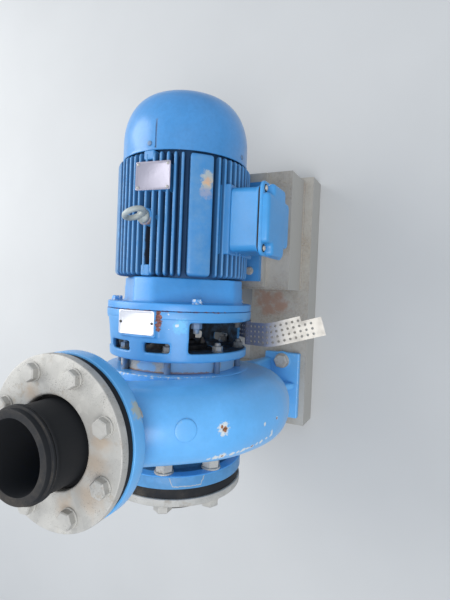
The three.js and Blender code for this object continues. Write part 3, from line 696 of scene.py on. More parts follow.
@material_maker
def steelwork(tree, rust_share, spots=()):
    """Structural steel: thin grey coat over rust, under a layer of earth dust."""
    colours = bpy.context.scene.pump_colours
    thin = cloud(tree, 9.0, 6.0, 0.62).between(0.35, 0.65)
    bloom = rust_bloom(tree, amount=rust_share, scale=16.0)
    rusty = mixed(tree, bloom["Shade"], shade(colours.rust, 0.35), shade(colours.rust, 1.1))
    laid = settled_dust(tree, amount=0.85, scale=8.0)
    grit = cloud(tree, 150.0, 4.0, 0.6).between(0.3, 0.7)
    earth = mixed(tree, grit, shade(colours.dust, 0.62), shade(colours.dust, 1.05))
    body = coated(
        tree, colours.steelwork, (thin, shade(colours.steelwork, 1.5)), (bloom["Mask"] * 0.65, rusty),
        (edge_wear(tree, amount=0.7, scale=60.0), WORN_STEEL), (laid, earth),
        (gathered(tree, spots, 45.0, 0.7, 0.8) * 0.75, RAIL_BROWN),
        # Inner corners darkened by dirt and by painted shade.
        (corner_dirt_and_shade(tree, amount=0.75, scale=30.0), shade(colours.dust, 0.30)))
    height = cloud(tree, 160.0, 5.0, 0.65) + laid * 0.8
    feed(tree, base_color=body, roughness=blended(tree, laid, 0.62, 0.95), metallic=0.0,
         normal=relief(tree, height, 0.0009, 0.6))


@material_maker
def pale_floor(tree, colour):
    """Plain floor paint, a little uneven."""
    grain = cloud(tree, 3.0, 3.0).between(0.3, 0.7)
    feed(tree, roughness=0.9, base_color=mixed(tree, grain, shade(colour, 0.97), colour))


# Mesh work

def rounded(points, radius, steps=3, closed=True):
    """Rounds the corners of an outline of (a, b) points; a third number is that corner's own radius."""
    result = []
    count = len(points)
    for i, point in enumerate(points):
        here = Vector(point[:2])
        size = point[2] if len(point) > 2 else radius
        before = Vector(points[i - 1][:2]) - here
        after = Vector(points[(i + 1) % count][:2]) - here
        kept = size <= 0 or (not closed and i in (0, count - 1)) or min(before.length, after.length) < 1e-7
        if kept or not 0.05 <= before.angle(after) <= pi - 0.12:
            result.append(here)
            continue
        cut = min(size / tan(before.angle(after) / 2), 0.45 * before.length, 0.45 * after.length)
        start = here + before.normalized() * cut
        end = here + after.normalized() * cut
        for k in range(steps + 1):
            t = k / steps
            result.append(start * (1 - t) ** 2 + here * 2 * t * (1 - t) + end * t * t)
    return [(p[0], p[1]) for p in result]


def loft(bm, rings, closed=False):
    """Skins rings of equal count; a ring of one vertex is a pole. With closed, the last joins the first."""
    made = [[bm.verts.new(p) for p in ring] for ring in rings]
    pairs = list(zip(made, made[1:]))
    if closed:
        pairs.append((made[-1], made[0]))
    for a, b in pairs:
        count = max(len(a), len(b))
        for k in range(count):
            n = (k + 1) % count
            if len(a) == 1:
                bm.faces.new((a[0], b[k], b[n]))
            elif len(b) == 1:
                bm.faces.new((a[k], b[0], a[n]))
            else:
                bm.faces.new((a[k], b[k], b[n], a[n]))
    if not closed:
        for ring in (made[0], made[-1]):
            if len(ring) > 2:
                bm.faces.new(ring)


def turned(bm, profile, axis="X", segments=96, closed=True):
    """Revolves (station, radius) points about the shaft, or about the discharge branch with the axis Z."""
    rings = []
    for station, radius in profile:
        count = 1 if radius < 1e-6 else segments
        ring = []
        for k in range(count):
            a, b = radius * cos(2 * pi * k / count), radius * sin(2 * pi * k / count)
            ring.append((station, a, AXIS_Z + b) if axis == "X" else (a, b, station))
        rings.append(ring)
    loft(bm, rings, closed=closed)


def solid_rod(bm, start, end, radius, axis="X", segments=72):
    turned(bm, [(start, 0.0), (start, radius), (end, radius), (end, 0.0)], axis, segments, closed=False)


def prism(bm, outline, start, end):
    """Runs a closed outline of (y, z) points between two stations along the shaft."""
    loft(bm, [[(station, y, z) for y, z in outline] for station in (start, end)])


def spin(bm, verts, turn):
    """Turns vertices about the shaft axis; positive degrees go from up towards the near side."""
    bmesh.ops.rotate(bm, verts=verts, cent=(0, 0, AXIS_Z), matrix=Matrix.Rotation(radians(turn), 3, "X"))


def slab(bm, low, high, turn=0.0):
    """A plain block between two corners, turned about the shaft axis if asked."""
    corners = bmesh.ops.create_cube(bm, size=1.0)["verts"]
    for v in corners:
        v.co = Vector(low[i] + (v.co[i] + 0.5) * (high[i] - low[i]) for i in range(3))
    if turn:
        spin(bm, corners, turn)


def about_shaft(radius, angle, x):
    """A place at an angle in degrees about the shaft, counted from +Y towards +Z."""
    return Vector((x, radius * cos(radians(angle)), AXIS_Z + radius * sin(radians(angle))))


def outward(angle):
    """The direction away from the shaft axis at an angle."""
    return Vector((0.0, cos(radians(angle)), sin(radians(angle))))


def mesh_from(bm, name):
    """Ends the mesh work and returns it as a mesh whose faces look outwards."""
    bmesh.ops.recalc_face_normals(bm, faces=bm.faces[:])
    mesh = bpy.data.meshes.new(name)
    bm.to_mesh(mesh)
    bm.free()
    return mesh


def linked(data, name):
    """A new object in the scene round a mesh, a light or a camera."""
    made = bpy.data.objects.new(name, data)
    bpy.context.scene.collection.objects.link(made)
    return made


def round_edges(piece, width, steps):
    rounding = piece.modifiers.new("rounded_edges", "BEVEL")
    rounding.width = width
    rounding.segments = steps
    rounding.limit_method = "ANGLE"
    rounding.angle_limit = radians(32.0)
    rounding.harden_normals = True


def piece_from(mesh, name, material, slot, nodes=(), sharp=38.0, bevel=0.0, steps=2):
    """Turns a mesh into a piece on the root body, with its finish and the frame nodes that it stands for."""
    mesh.shade_smooth()
    mesh.set_sharp_from_angle(angle=radians(sharp))
    mesh.materials.clear()
    mesh.materials.append(material)
    piece = linked(mesh, name)
    if bevel:
        round_edges(piece, bevel, steps)
    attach(piece, "root")
    if nodes:
        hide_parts(*nodes)


def made_of(bm, name, *look, **more):
    """Turns mesh work into a piece; the rest is as for piece_from."""
    piece_from(mesh_from(bm, name), name, *look, **more)


def shaped(shape, *sizes, **more):
    """Mesh work with one shape in it."""
    bm = bmesh.new()
    shape(bm, *sizes, **more)
    return bm


def turned_piece(name, look, nodes, outline, radius, steps=3, axis="X", segments=144, closed=True):
    """A piece that is one turned outline with rounded corners; look is its material and a slot name, which is
    not used.
    """
    profile = rounded(outline, radius, steps, closed)
    made_of(shaped(turned, profile, axis, segments, closed), name, *look, nodes)


def dress(node, material, bevel, steps=2):
    """Gives a frame node its finish and rounded edges."""
    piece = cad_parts[node]
    if not piece.material_slots:
        piece.data.materials.append(material)
    for place_for in piece.material_slots:
        place_for.link = "OBJECT"
        place_for.material = material
    round_edges(piece, bevel, steps)


def dropped(helper):
    """Removes a helper object with its mesh."""
    old = helper.data
    bpy.data.objects.remove(helper)
    bpy.data.meshes.remove(old)


def settled(helper):
    """The mesh of a helper with its modifiers applied; the helper goes."""
    bpy.context.view_layer.update()
    graph = bpy.context.evaluated_depsgraph_get()
    mesh = bpy.data.meshes.new_from_object(helper.evaluated_get(graph))
    dropped(helper)
    return mesh


def carved(mesh, *cuts):
    """The mesh with the mesh work of each cut taken out of it."""
    helper = linked(mesh, "carved")
    cutters = [linked(mesh_from(bm, "cutter"), "cutter") for bm in cuts]
    for cutter in cutters:
        cut = helper.modifiers.new("cut", "BOOLEAN")
        cut.object = cutter
        cut.operation = "DIFFERENCE"
        cut.solver = "MANIFOLD"
    result = settled(helper)
    for cutter in cutters:
        dropped(cutter)
    return result


def cast_as_one(bm, cell, smoothing):
    """Melts overlapping shells into the mesh of one casting with rounded inner corners."""
    helper = linked(mesh_from(bm, "shells"), "shells")
    melt = helper.modifiers.new("melt", "REMESH")
    melt.mode = "VOXEL"
    melt.voxel_size = cell
    ease = helper.modifiers.new("ease", "SMOOTH")
    ease.factor = 0.5
    ease.iterations = smoothing
    return settled(helper)


def lerp(pair, t):
    return pair[0] + (pair[1] - pair[0]) * t


# Fasteners

UP = (0, 0, 1)
DOWN = (0, 0, -1)
TO_FAN = (1, 0, 0)
TO_SUCTION = (-1, 0, 0)
NEARWARD = (0, -1, 0)
WELD_RIPPLE = 0.0035


def seat(where, axis=UP):
    """Puts +Z on a place, along the axis given."""
    return Matrix.Translation(where) @ Vector(UP).rotation_difference(Vector(axis)).to_matrix().to_4x4()


def stack(bm, at, levels, sides, turn=0.0):
    """Skins rings given as (height, radius) along a local +Z, closed at both ends."""
    angles = [2 * pi * k / sides + turn for k in range(sides)]
    loft(bm, [[at @ Vector((radius * cos(angle), radius * sin(angle), height)) for angle in angles]
              for height, radius in levels])


def hex_head(bm, where, axis, thread, turn=0.0, stub=0.0):
    """A hexagon head on a washer; with a stub of thread that stands out of it, a nut."""
    at = seat(where, axis)
    corner = 1.5 * thread / sqrt(3.0)
    rim = 0.92 * thread
    base = 0.16 * thread
    high = base + (0.8 if stub else 0.62) * thread
    start = [(base, corner * 0.95), (base + 0.04 * thread, corner)] if stub else [(base, corner)]
    stack(bm, at, [(0.0, rim), (base * 0.8, rim), (base, rim * 0.96)], 28)
    stack(bm, at, start + [(high - 0.10 * thread, corner), (high, corner * 0.88)], 6, turn)
    if stub:
        end = high + stub
        core = thread * 0.48
        stack(bm, at, [(high - 0.002, core), (end - 0.0015, core), (end, thread * 0.40)], 20)


def round_head(bm, where, axis, radius, height):
    """A pan head or rivet."""
    stack(bm, seat(where, axis), [(0.0, radius), (height * 0.55, radius), (height * 0.88, radius * 0.8),
                                  (height, radius * 0.45)], 20)


def rod(bm, start, end, radius, sides=20):
    """A plain round bar between two places."""
    run = Vector(end) - Vector(start)
    stack(bm, seat(start, run.normalized()), [(0.0, radius), (run.length, radius)], sides)


def weld_bead(bm, start, end, radius):
    """A rippled half-round bead between two places."""
    run = Vector(end) - Vector(start)
    count = max(6, int(run.length / WELD_RIPPLE) * 2)
    levels = []
    for k in range(count + 1):
        uneven = 0.92 + 0.16 * noise.noise(Vector((k * 0.37, 3.1, radius * 900)))
        levels.append((k / count * run.length, radius * (1.0 if k % 2 else 0.82) * uneven))
    stack(bm, seat(start, run.normalized()), levels, 8, 0.2)


# Casing

SPIRAL_STEPS = 30
SPIRAL_X = 0.001
SPIRAL_TURN = (62.0, -180.0)
SPIRAL_AXIAL = (0.042, 0.070)
SPIRAL_RADIAL = (0.042, 0.084)
SPIRAL_CENTRE = (0.116, 0.160)
# Stations of the neck as (x, y, height over the shaft, half size along the shaft, half size across it)
NECK = [
    (0.001, -0.153, 0.058, 0.069, 0.084), (0.002, -0.134, 0.112, 0.068, 0.083),
    (0.003, -0.098, 0.160, 0.066, 0.081), (0.003, -0.054, 0.200, 0.066, 0.079),
    (0.002, -0.018, 0.232, 0.067, 0.076), (0.001, -0.003, 0.260, 0.069, 0.075),
    (0.000, 0.000, 0.284, 0.071, 0.074),
]
BRANCH_Z = AXIS_Z + 0.255
BRANCH_R = 0.075
PASSAGE_WALL = 0.013
SECTION_POWER = 2.3
CASING_SMOOTHING = 9
RING_BACK_X = CASING_FRONT_X - CASING_RING_T
SUCTION_BACK_X = SUCTION_FACE_X + FLANGE_T
DISCHARGE_UNDER_Z = DISCHARGE_FACE_Z - FLANGE_T
# How far the crisp rings reach into the bores past the cast wall
BORE_LAP = 0.0002
CASING_SHELL = [
    (SUCTION_BACK_X - 0.002, 0.0), (SUCTION_BACK_X - 0.002, SUCTION_NECK_R), (-0.090, SUCTION_NECK_R),
    (-0.084, 0.112), (-0.044, 0.138), (0.036, 0.138), (RING_BACK_X + 0.001, 0.146),
    (CASING_FRONT_X - 0.004, 0.146), (CASING_FRONT_X - 0.004, 0.0),
]
# Outlines across the shaft as (y, height), each with half its length; the web's heights are over the shaft
WEB = [(-0.060, 0.120), (0.070, 0.110), (0.052, 0.190), (0.030, 0.250), (-0.020, 0.240)]
WEB_HALF = 0.038
LEGS = [
    ([(0.112, BASE_TOP), (0.131, BASE_TOP), (0.123, 0.185), (0.096, 0.185)], 0.065),
    ([(0.112, BASE_TOP), (0.193, BASE_TOP + FOOT_T), (0.142, 0.205), (0.112, 0.205)], 0.0075),
]
BOSS_AT = (0.0115, -0.1495, 0.5405)
BOSS_TOWARDS = (0.09, -0.69, 0.72)
BOSS_LEVELS = [(-0.006, 0.0186), (0.0042, 0.0180), (0.0054, 0.0170), (0.0058, 0.0152)]
PUMP_FOOT_BOLTS = [(x, y) for y in (0.1575, -0.1575) for x in (-0.060, 0.060)]


def flowing(points, steps):
    """A smooth run through points of any number of values, all of them kept."""
    vectors = [Vector(p) for p in points]
    run = []
    for i in range(len(vectors) - 1):
        p0, p1 = vectors[max(i - 1, 0)], vectors[i]
        p2, p3 = vectors[i + 1], vectors[min(i + 2, len(vectors) - 1)]
        for k in range(steps):
            t = k / steps
            run.append(0.5 * (2 * p1 + (p2 - p0) * t + (2 * p0 - 5 * p1 + 4 * p2 - p3) * t * t
                              + (3 * p1 - p0 - 3 * p2 + p3) * t ** 3))
    return run + [vectors[-1]]


def squared(value):
    """A sine or cosine pushed outwards, so that a round section grows fuller at its corners."""
    return copysign(abs(value) ** (2 / SECTION_POWER), value)


def passage(bm, inset, sides):
    """The water passage: once round under the shaft with a growing section, then up to the discharge."""
    spiral = []
    for i in range(SPIRAL_STEPS + 1):
        t = i / SPIRAL_STEPS
        out, turn = lerp(SPIRAL_CENTRE, t), radians(lerp(SPIRAL_TURN, t))
        axial, radial = lerp(SPIRAL_AXIAL, t), lerp(SPIRAL_RADIAL, t)
        spiral.append((SPIRAL_X, out * cos(turn), out * sin(turn), axial, radial))
    line = flowing(spiral[:-1:3] + [spiral[-1]] + NECK, 4)
    rings = []
    for i, (x, y, z, axial, radial) in enumerate(line):
        before, after = line[max(i - 1, 0)], line[min(i + 1, len(line) - 1)]
        along = Vector((after[1] - before[1], after[2] - before[2])).normalized()
        ring = []
        for k in range(sides):
            turn = 2 * pi * k / sides
            a = (radial - inset) * squared(cos(turn))
            b = (axial - inset) * squared(sin(turn))
            ring.append((min(x + b, CASING_FRONT_X - 0.001), y - along.y * a, AXIS_Z + z + along.x * a))
        rings.append(ring)
    loft(bm, rings)


class PUMP_OT_casing(Operator):
    """Builds the volute casing as one casting, with crisp flanges, a front ring and two feet"""
    bl_idname = "pump.casing"
    bl_label = "Casing"

    def execute(self, context):
        casting = context.scene.pump_casting
        edge = casting.edge
        look = (casing_enamel(), "blue_enamel")

        body = shaped(passage, 0.0, 56)
        turned(body, CASING_SHELL, closed=False)
        solid_rod(body, BRANCH_Z, DISCHARGE_FACE_Z - 0.010, BRANCH_R, axis="Z")
        prism(body, [(y, AXIS_Z + z) for y, z in WEB], -WEB_HALF, WEB_HALF)
        for side in (1, -1):
            for outline, half in LEGS:
                prism(body, [(side * y, z) for y, z in outline], -half, half)
        mesh = carved(
            cast_as_one(body, casting.grain, CASING_SMOOTHING),
            shaped(solid_rod, SUCTION_FACE_X - 0.002, CHAMBER_X[0] + 0.001, SUCTION_BORE_R),
            shaped(solid_rod, *CHAMBER_X, CHAMBER_R),
            shaped(solid_rod, CHAMBER_X[1] - 0.001, CASING_FRONT_X + 0.002, SPIGOT_BORE_R),
            shaped(solid_rod, BRANCH_Z, DISCHARGE_FACE_Z + 0.002, DISCHARGE_BORE_R, axis="Z"),
            shaped(passage, PASSAGE_WALL, 40))
        piece_from(mesh, "casing_body", *look, ["volute_casing"], sharp=40)

        bore = SUCTION_BORE_R - BORE_LAP
        hub = SUCTION_BACK_X + 0.009
        turned_piece("casing_suction_flange", look, (), [
            (SUCTION_FACE_X, bore), (SUCTION_FACE_X, SUCTION_R), (SUCTION_BACK_X, SUCTION_R, 0.003),
            (SUCTION_BACK_X, 0.104, 0.006), (hub, SUCTION_NECK_R - 0.001, 0.004), (hub, bore)], edge)
        bore = DISCHARGE_BORE_R - BORE_LAP
        hub = DISCHARGE_UNDER_Z - 0.011
        turned_piece("casing_discharge_flange", look, (), [
            (DISCHARGE_FACE_Z, bore), (DISCHARGE_FACE_Z, DISCHARGE_R),
            (DISCHARGE_UNDER_Z, DISCHARGE_R, 0.003), (DISCHARGE_UNDER_Z, 0.088, 0.007),
            (hub, 0.0735, 0.004), (hub, bore)], edge, axis="Z")
        bore = SPIGOT_BORE_R - BORE_LAP
        hub = RING_BACK_X - 0.006
        turned_piece("casing_front_ring", look, (), [
            (CASING_FRONT_X, bore), (CASING_FRONT_X, CASING_RING_R), (RING_BACK_X, CASING_RING_R, 0.003),
            (hub, 0.139, 0.004), (hub, bore)], edge)

        boss = seat(BOSS_AT, Vector(BOSS_TOWARDS).normalized())
        made_of(shaped(stack, boss, BOSS_LEVELS, 48), "casing_boss", *look, sharp=60)

        bm = bmesh.new()
        for low_y, high_y in (FOOT_Y, (-FOOT_Y[1], -FOOT_Y[0])):
            slab(bm, (FOOT_X[0], low_y, BASE_TOP), (FOOT_X[1], high_y, BASE_TOP + FOOT_T - 0.0015))
        for x, y in PUMP_FOOT_BOLTS:
            stack(bm, seat((x, y, BASE_TOP + 0.010)), [(0.0, 0.0235), (FOOT_T - 0.0105, 0.0225)], 40)
        made_of(bm, "casing_feet", *look, bevel=0.003, steps=3)
        return {"FINISHED"}


DISCHARGE_STUB_R = 0.0625
DISCHARGE_STUB_BORE_R = 0.051
DISCHARGE_BEAD_AT = 0.077
SUCTION_STUB_R = 0.080
SUCTION_STUB_BORE_R = 0.0655
SUCTION_BEAD_AT = 0.056
RING_PLAY = 0.006
# Half of a bead as (distance from its groove, rise over the stub, corner radius)
HALF_BEAD = ((0.0008, 0.0036, 0.0012), (0.0042, 0.0036, 0.0012), (0.0050, 0.0, 0.0008))
BEAD = [(-along, rise, size) for along, rise, size in reversed(HALF_BEAD)]
BEAD += [(0.0, 0.0004, 0.0004), *HALF_BEAD]


class PUMP_OT_branches(Operator):
    """Builds the black flange adaptors with their weld beads, and the zinc-coated rings that clamp them"""
    bl_idname = "pump.branches"
    bl_label = "Branches"

    def execute(self, context):
        black = (plastic("moulded_plastic"), "pipe_plastic")
        zinc = (zinc_coat("ring_zinc", 0.42, RING_DIRT), "galvanised_steel")

        def adaptor(name, node, axis, face, end, flange_r, flange_t, stub_r, bore_r, bead):
            """A stub with a flange on the face and the bead of the welded pipe on its way to the end."""
            outline = [(0.0, bore_r), (0.0, flange_r), (flange_t, flange_r, 0.002), (flange_t, stub_r, 0.004)]
            outline += [(bead + along, stub_r + rise, size) for along, rise, size in BEAD]
            outline += [(abs(end - face), stub_r), (abs(end - face), bore_r)]
            direction = copysign(1.0, end - face)
            profile = [(face + direction * h, r) for h, r in rounded(outline, 0.001, 4)]
            made_of(shaped(turned, profile, axis, 128), name, *black, [node])

        def ring(name, node, axis, outer, inner, radius, stub_r):
            """A flat ring that clamps an adaptor; its bore is rounded more at its outer face."""
            bore = stub_r + RING_PLAY
            outline = [(outer, bore, 0.004), (outer, radius), (inner, radius), (inner, bore, 0.003)]
            turned_piece(name, zinc, [node], outline, 0.002, 4, axis)

        adaptor("discharge_stub", "discharge_flange_adaptor", "Z", DISCHARGE_FACE_Z, DISCHARGE_END_Z,
                DISCHARGE_ADAPTOR_R, DISCHARGE_RING_Z[0] - DISCHARGE_FACE_Z, DISCHARGE_STUB_R,
                DISCHARGE_STUB_BORE_R, DISCHARGE_BEAD_AT)
        adaptor("suction_stub", "suction_flange_adaptor", "X", SUCTION_FACE_X, SUCTION_END_X,
                SUCTION_ADAPTOR_R, SUCTION_FACE_X - SUCTION_RING_X[1], SUCTION_STUB_R,
                SUCTION_STUB_BORE_R, SUCTION_BEAD_AT)
        ring("discharge_ring", "discharge_backing_ring", "Z", *reversed(DISCHARGE_RING_Z), DISCHARGE_R,
             DISCHARGE_STUB_R)
        ring("suction_ring", "suction_backing_ring", "X", *SUCTION_RING_X, SUCTION_R, SUCTION_STUB_R)
        return {"FINISHED"}


# Lantern, seal and shaft

WINDOW_X = (0.109, 0.166)
WINDOW_HALF = 51.5
SLOT_X = (0.109, 0.127)
SLOTS = ((59.0, 82.0), (95.0, 115.0))
LANTERN_WALL = [
    (LANTERN_FRONT_X, 0.096), (LANTERN_FRONT_X, 0.143), (0.112, 0.1445), (0.166, 0.150), (JOINT_X, 0.150),
    (JOINT_X, 0.116), (0.166, 0.116), (0.166, 0.138), (0.109, 0.131), (0.109, 0.096),
]
LANTERN_GRAIN = 0.0022
LANTERN_SMOOTHING = 5
LANTERN_RIM_X = (JOINT_X - 0.016, JOINT_X - 0.0008)
LANTERN_RIM_R = (0.1225, 0.1508)
LABEL_TURN = -0.5
LABEL_LEVEL = 0.149
LABEL_X = (0.141, 0.185)
LABEL_HALF = 0.0395
LABEL_SEAT_HALF = LABEL_HALF + 0.0025


def wedge(bm, span, start, end):
    """A wedge of space about the shaft between two angles."""
    steps = max(2, ceil((end - start) / 15))
    rim = [about_shaft(0.2, start + (end - start) * i / steps, 0.0) for i in range(steps + 1)]
    prism(bm, [(0.0, AXIS_Z)] + [(p.y, p.z) for p in rim], *span)


def above_label(low_x):
    """The space over the flat for the label plate, from one station to the joint."""
    return shaped(slab, (low_x, -LABEL_SEAT_HALF - 0.002, AXIS_Z + LABEL_LEVEL),
                  (JOINT_X + 0.001, LABEL_SEAT_HALF + 0.002, AXIS_Z + LABEL_LEVEL + 0.020), LABEL_TURN)


class PUMP_OT_lantern(Operator):
    """Builds the lantern as one casting with two windows, four wrench slots and a flat for its plate"""
    bl_idname = "pump.lantern"
    bl_label = "Lantern"

    def execute(self, context):
        look = (lantern_enamel(), "blue_enamel")
        cuts = [shaped(wedge, WINDOW_X, middle_at - WINDOW_HALF, middle_at + WINDOW_HALF)
                for middle_at in (0.0, 180.0)]
        for start, end in SLOTS:
            cuts += [shaped(wedge, SLOT_X, start, end), shaped(wedge, SLOT_X, -end, -start)]
        shell = carved(mesh_from(shaped(turned, LANTERN_WALL), "lantern_wall"), *cuts)
        bm = bmesh.new()
        bm.from_mesh(shell)
        slab(bm, (LABEL_X[0] - 0.003, -LABEL_SEAT_HALF, AXIS_Z + LABEL_LEVEL - 0.009),
             (JOINT_X - 0.001, LABEL_SEAT_HALF, AXIS_Z + LABEL_LEVEL + 0.0015), LABEL_TURN)
        mesh = carved(cast_as_one(bm, LANTERN_GRAIN, LANTERN_SMOOTHING), above_label(LABEL_X[0] - 0.005))
        piece_from(mesh, "lantern_casting", *look, ["lantern"], sharp=42)

        (low, high), (inner, outer) = LANTERN_RIM_X, LANTERN_RIM_R
        outline = [(low, inner), (low, outer, 0.003), (high, outer), (high, inner)]
        ring = mesh_from(shaped(turned, rounded(outline, 0.001), segments=144), "lantern_ring")
        piece_from(carved(ring, above_label(JOINT_X - 0.020)), "lantern_joint_ring", *look)
        return {"FINISHED"}


COVER_OUTLINE = [
    (0.038, 0.036), (0.038, 0.117), (CASING_FRONT_X, 0.117, 0.0), (CASING_FRONT_X, COVER_R),
    (LANTERN_FRONT_X, COVER_R), (LANTERN_FRONT_X, 0.092, 0.003), (0.104, 0.070, 0.003), (0.104, 0.036),
]
GLAND_X = 0.113
GLAND_NUT_R = 0.049
GLAND_THREAD = 0.008
GLAND_OUTLINE = [
    (0.104, 0.027), (0.104, 0.060), (GLAND_X, 0.060), (GLAND_X, 0.036, 0.002), (0.120, 0.034), (0.120, 0.027),
]
SLEEVE_SCREW_X = 0.153
SHAFT_OUTLINE = [
    (0.028, 0.0), (0.028, 0.024), (0.124, 0.024, 0.0), (0.124, 0.034), (0.139, 0.034), (0.1395, 0.0325),
    (0.142, 0.0325), (0.1425, 0.034), (0.164, 0.034), (0.164, 0.019, 0.0), (JOINT_X, 0.019), (JOINT_X, 0.0),
]


class PUMP_OT_seal_and_shaft(Operator):
    """Builds the casing cover, the seal gland with its nuts, and the shaft with its coupling sleeve"""
    bl_idname = "pump.seal_and_shaft"
    bl_label = "Seal and shaft"

    def execute(self, context):
        # Both darken their recesses inside the lantern as painted shade.
        iron = steel("cover_iron", (0.58, 0.54, 0.47), 0.12, 0.60, 0.10, paint=(0.230, 0.520, 0.800),
                     paint_at=COVER_PAINT, orange=0.0690,
                     recesses=[(0.088, 0.300, 0.112, 0.95), (0.0975, 0.300, 0.132, 0.95)])
        bright = steel("shaft_steel", (0.16, 0.155, 0.15), 0.30, 0.50, 0.4,
                       recesses=[(0.060, 0.116, 0.070, 0.95), (0.112, 0.300, 0.050, 0.80)])
        turned_piece("cover_casting", (iron, "bare_iron"), ["casing_cover"], COVER_OUTLINE, 0.001,
                     segments=128)
        bm = shaped(turned, rounded(GLAND_OUTLINE, 0.0012), segments=72)
        for angle in (20, 110, 200, 290):
            hex_head(bm, about_shaft(GLAND_NUT_R, angle, GLAND_X), TO_FAN, GLAND_THREAD, 0.3, stub=0.006)
        made_of(bm, "seal_gland_plate", bright, "bright_steel", ["seal_gland"])
        bm = shaped(turned, rounded(SHAFT_OUTLINE, 0.0008, closed=False), segments=64, closed=False)
        for angle in (150, 270, 30):
            round_head(bm, about_shaft(0.0338, angle, SLEEVE_SCREW_X), outward(angle), 0.0045, 0.0022)
        made_of(bm, "shaft_and_sleeve", bright, "bright_steel", ["pump_shaft"])
        dress("impeller", iron, bevel=0.0015)
        return {"FINISHED"}


# Guard strip

GUARD_X = 0.145
GUARD_HALF = 0.022
GUARD_R = 0.1506
GUARD_T = 0.0015
GUARD_WRAP = (246.0, 182.0)
GUARD_FOLD = 0.009
GUARD_LENGTH = 0.1634
# Each as (first value, last value, station half way between them, length of the change)
GUARD_CLIMB = (25.8, -10.0, 0.0705, 0.016)
GUARD_SWING = (2.2, 16.8, 0.064, 0.012)
# Stations between which the guard's painted reflection runs from dark blue to bright.
GUARD_DARK_REFLECTION_Y = -0.195
GUARD_BRIGHT_REFLECTION_Y = -0.258
WRAP_STEPS, FOLD_STEPS, FREE_STEPS = 36, 8, 84
HOLE_ALONG = 0.01081
HOLE_ACROSS = 0.00965
HOLE_R = 0.0024
HOLE_SIDES = 16
HOLE_ROWS = 4
LAST_HOLE = 0.020


def eased(change, along):
    first, last, at, within = change
    return first + (last - first) * (1 + tanh((along - at) / within)) / 2


def guard_axes(climb, swing=0.0):
    """Directions across the strip, along it and out of its face, for a climb and a swing in degrees."""
    up, level = sin(radians(climb)), cos(radians(climb))
    aside, ahead = sin(radians(swing)), cos(radians(swing))
    across = Vector((ahead, aside * level, -aside * up))
    return across, Vector((aside, -ahead * level, ahead * up)), Vector((0, up, level))


def guard_course():
    """Centre line of the guard strip: round the lower pillar, out over a fold, then free.

    It comes as (station, centre, direction across).
    """
    course = []
    radius = GUARD_R + GUARD_T / 2

    def add(centre, across):
        run = (centre - course[-1][1]).length if course else 0.0
        course.append((course[-1][0] + run if course else 0.0, centre, across))

    for i in range(WRAP_STEPS + 1):
        add(about_shaft(radius, lerp(GUARD_WRAP, i / WRAP_STEPS), GUARD_X), guard_axes(0.0)[0])
    steepest = 270 - GUARD_WRAP[1]
    fold_centre = course[-1][1] - guard_axes(steepest)[2] * GUARD_FOLD
    for i in range(1, FOLD_STEPS + 1):
        across, _, face = guard_axes(lerp((steepest, eased(GUARD_CLIMB, 0.0)), i / FOLD_STEPS))
        add(fold_centre + face * GUARD_FOLD, across)
    step = GUARD_LENGTH / FREE_STEPS
    for i in range(FREE_STEPS):
        half = (i + 0.5) * step
        along = guard_axes(eased(GUARD_CLIMB, half), eased(GUARD_SWING, half))[1]
        ahead = half + step / 2
        add(course[-1][1] + along * step, guard_axes(eased(GUARD_CLIMB, ahead), eased(GUARD_SWING, ahead))[0])
    return course


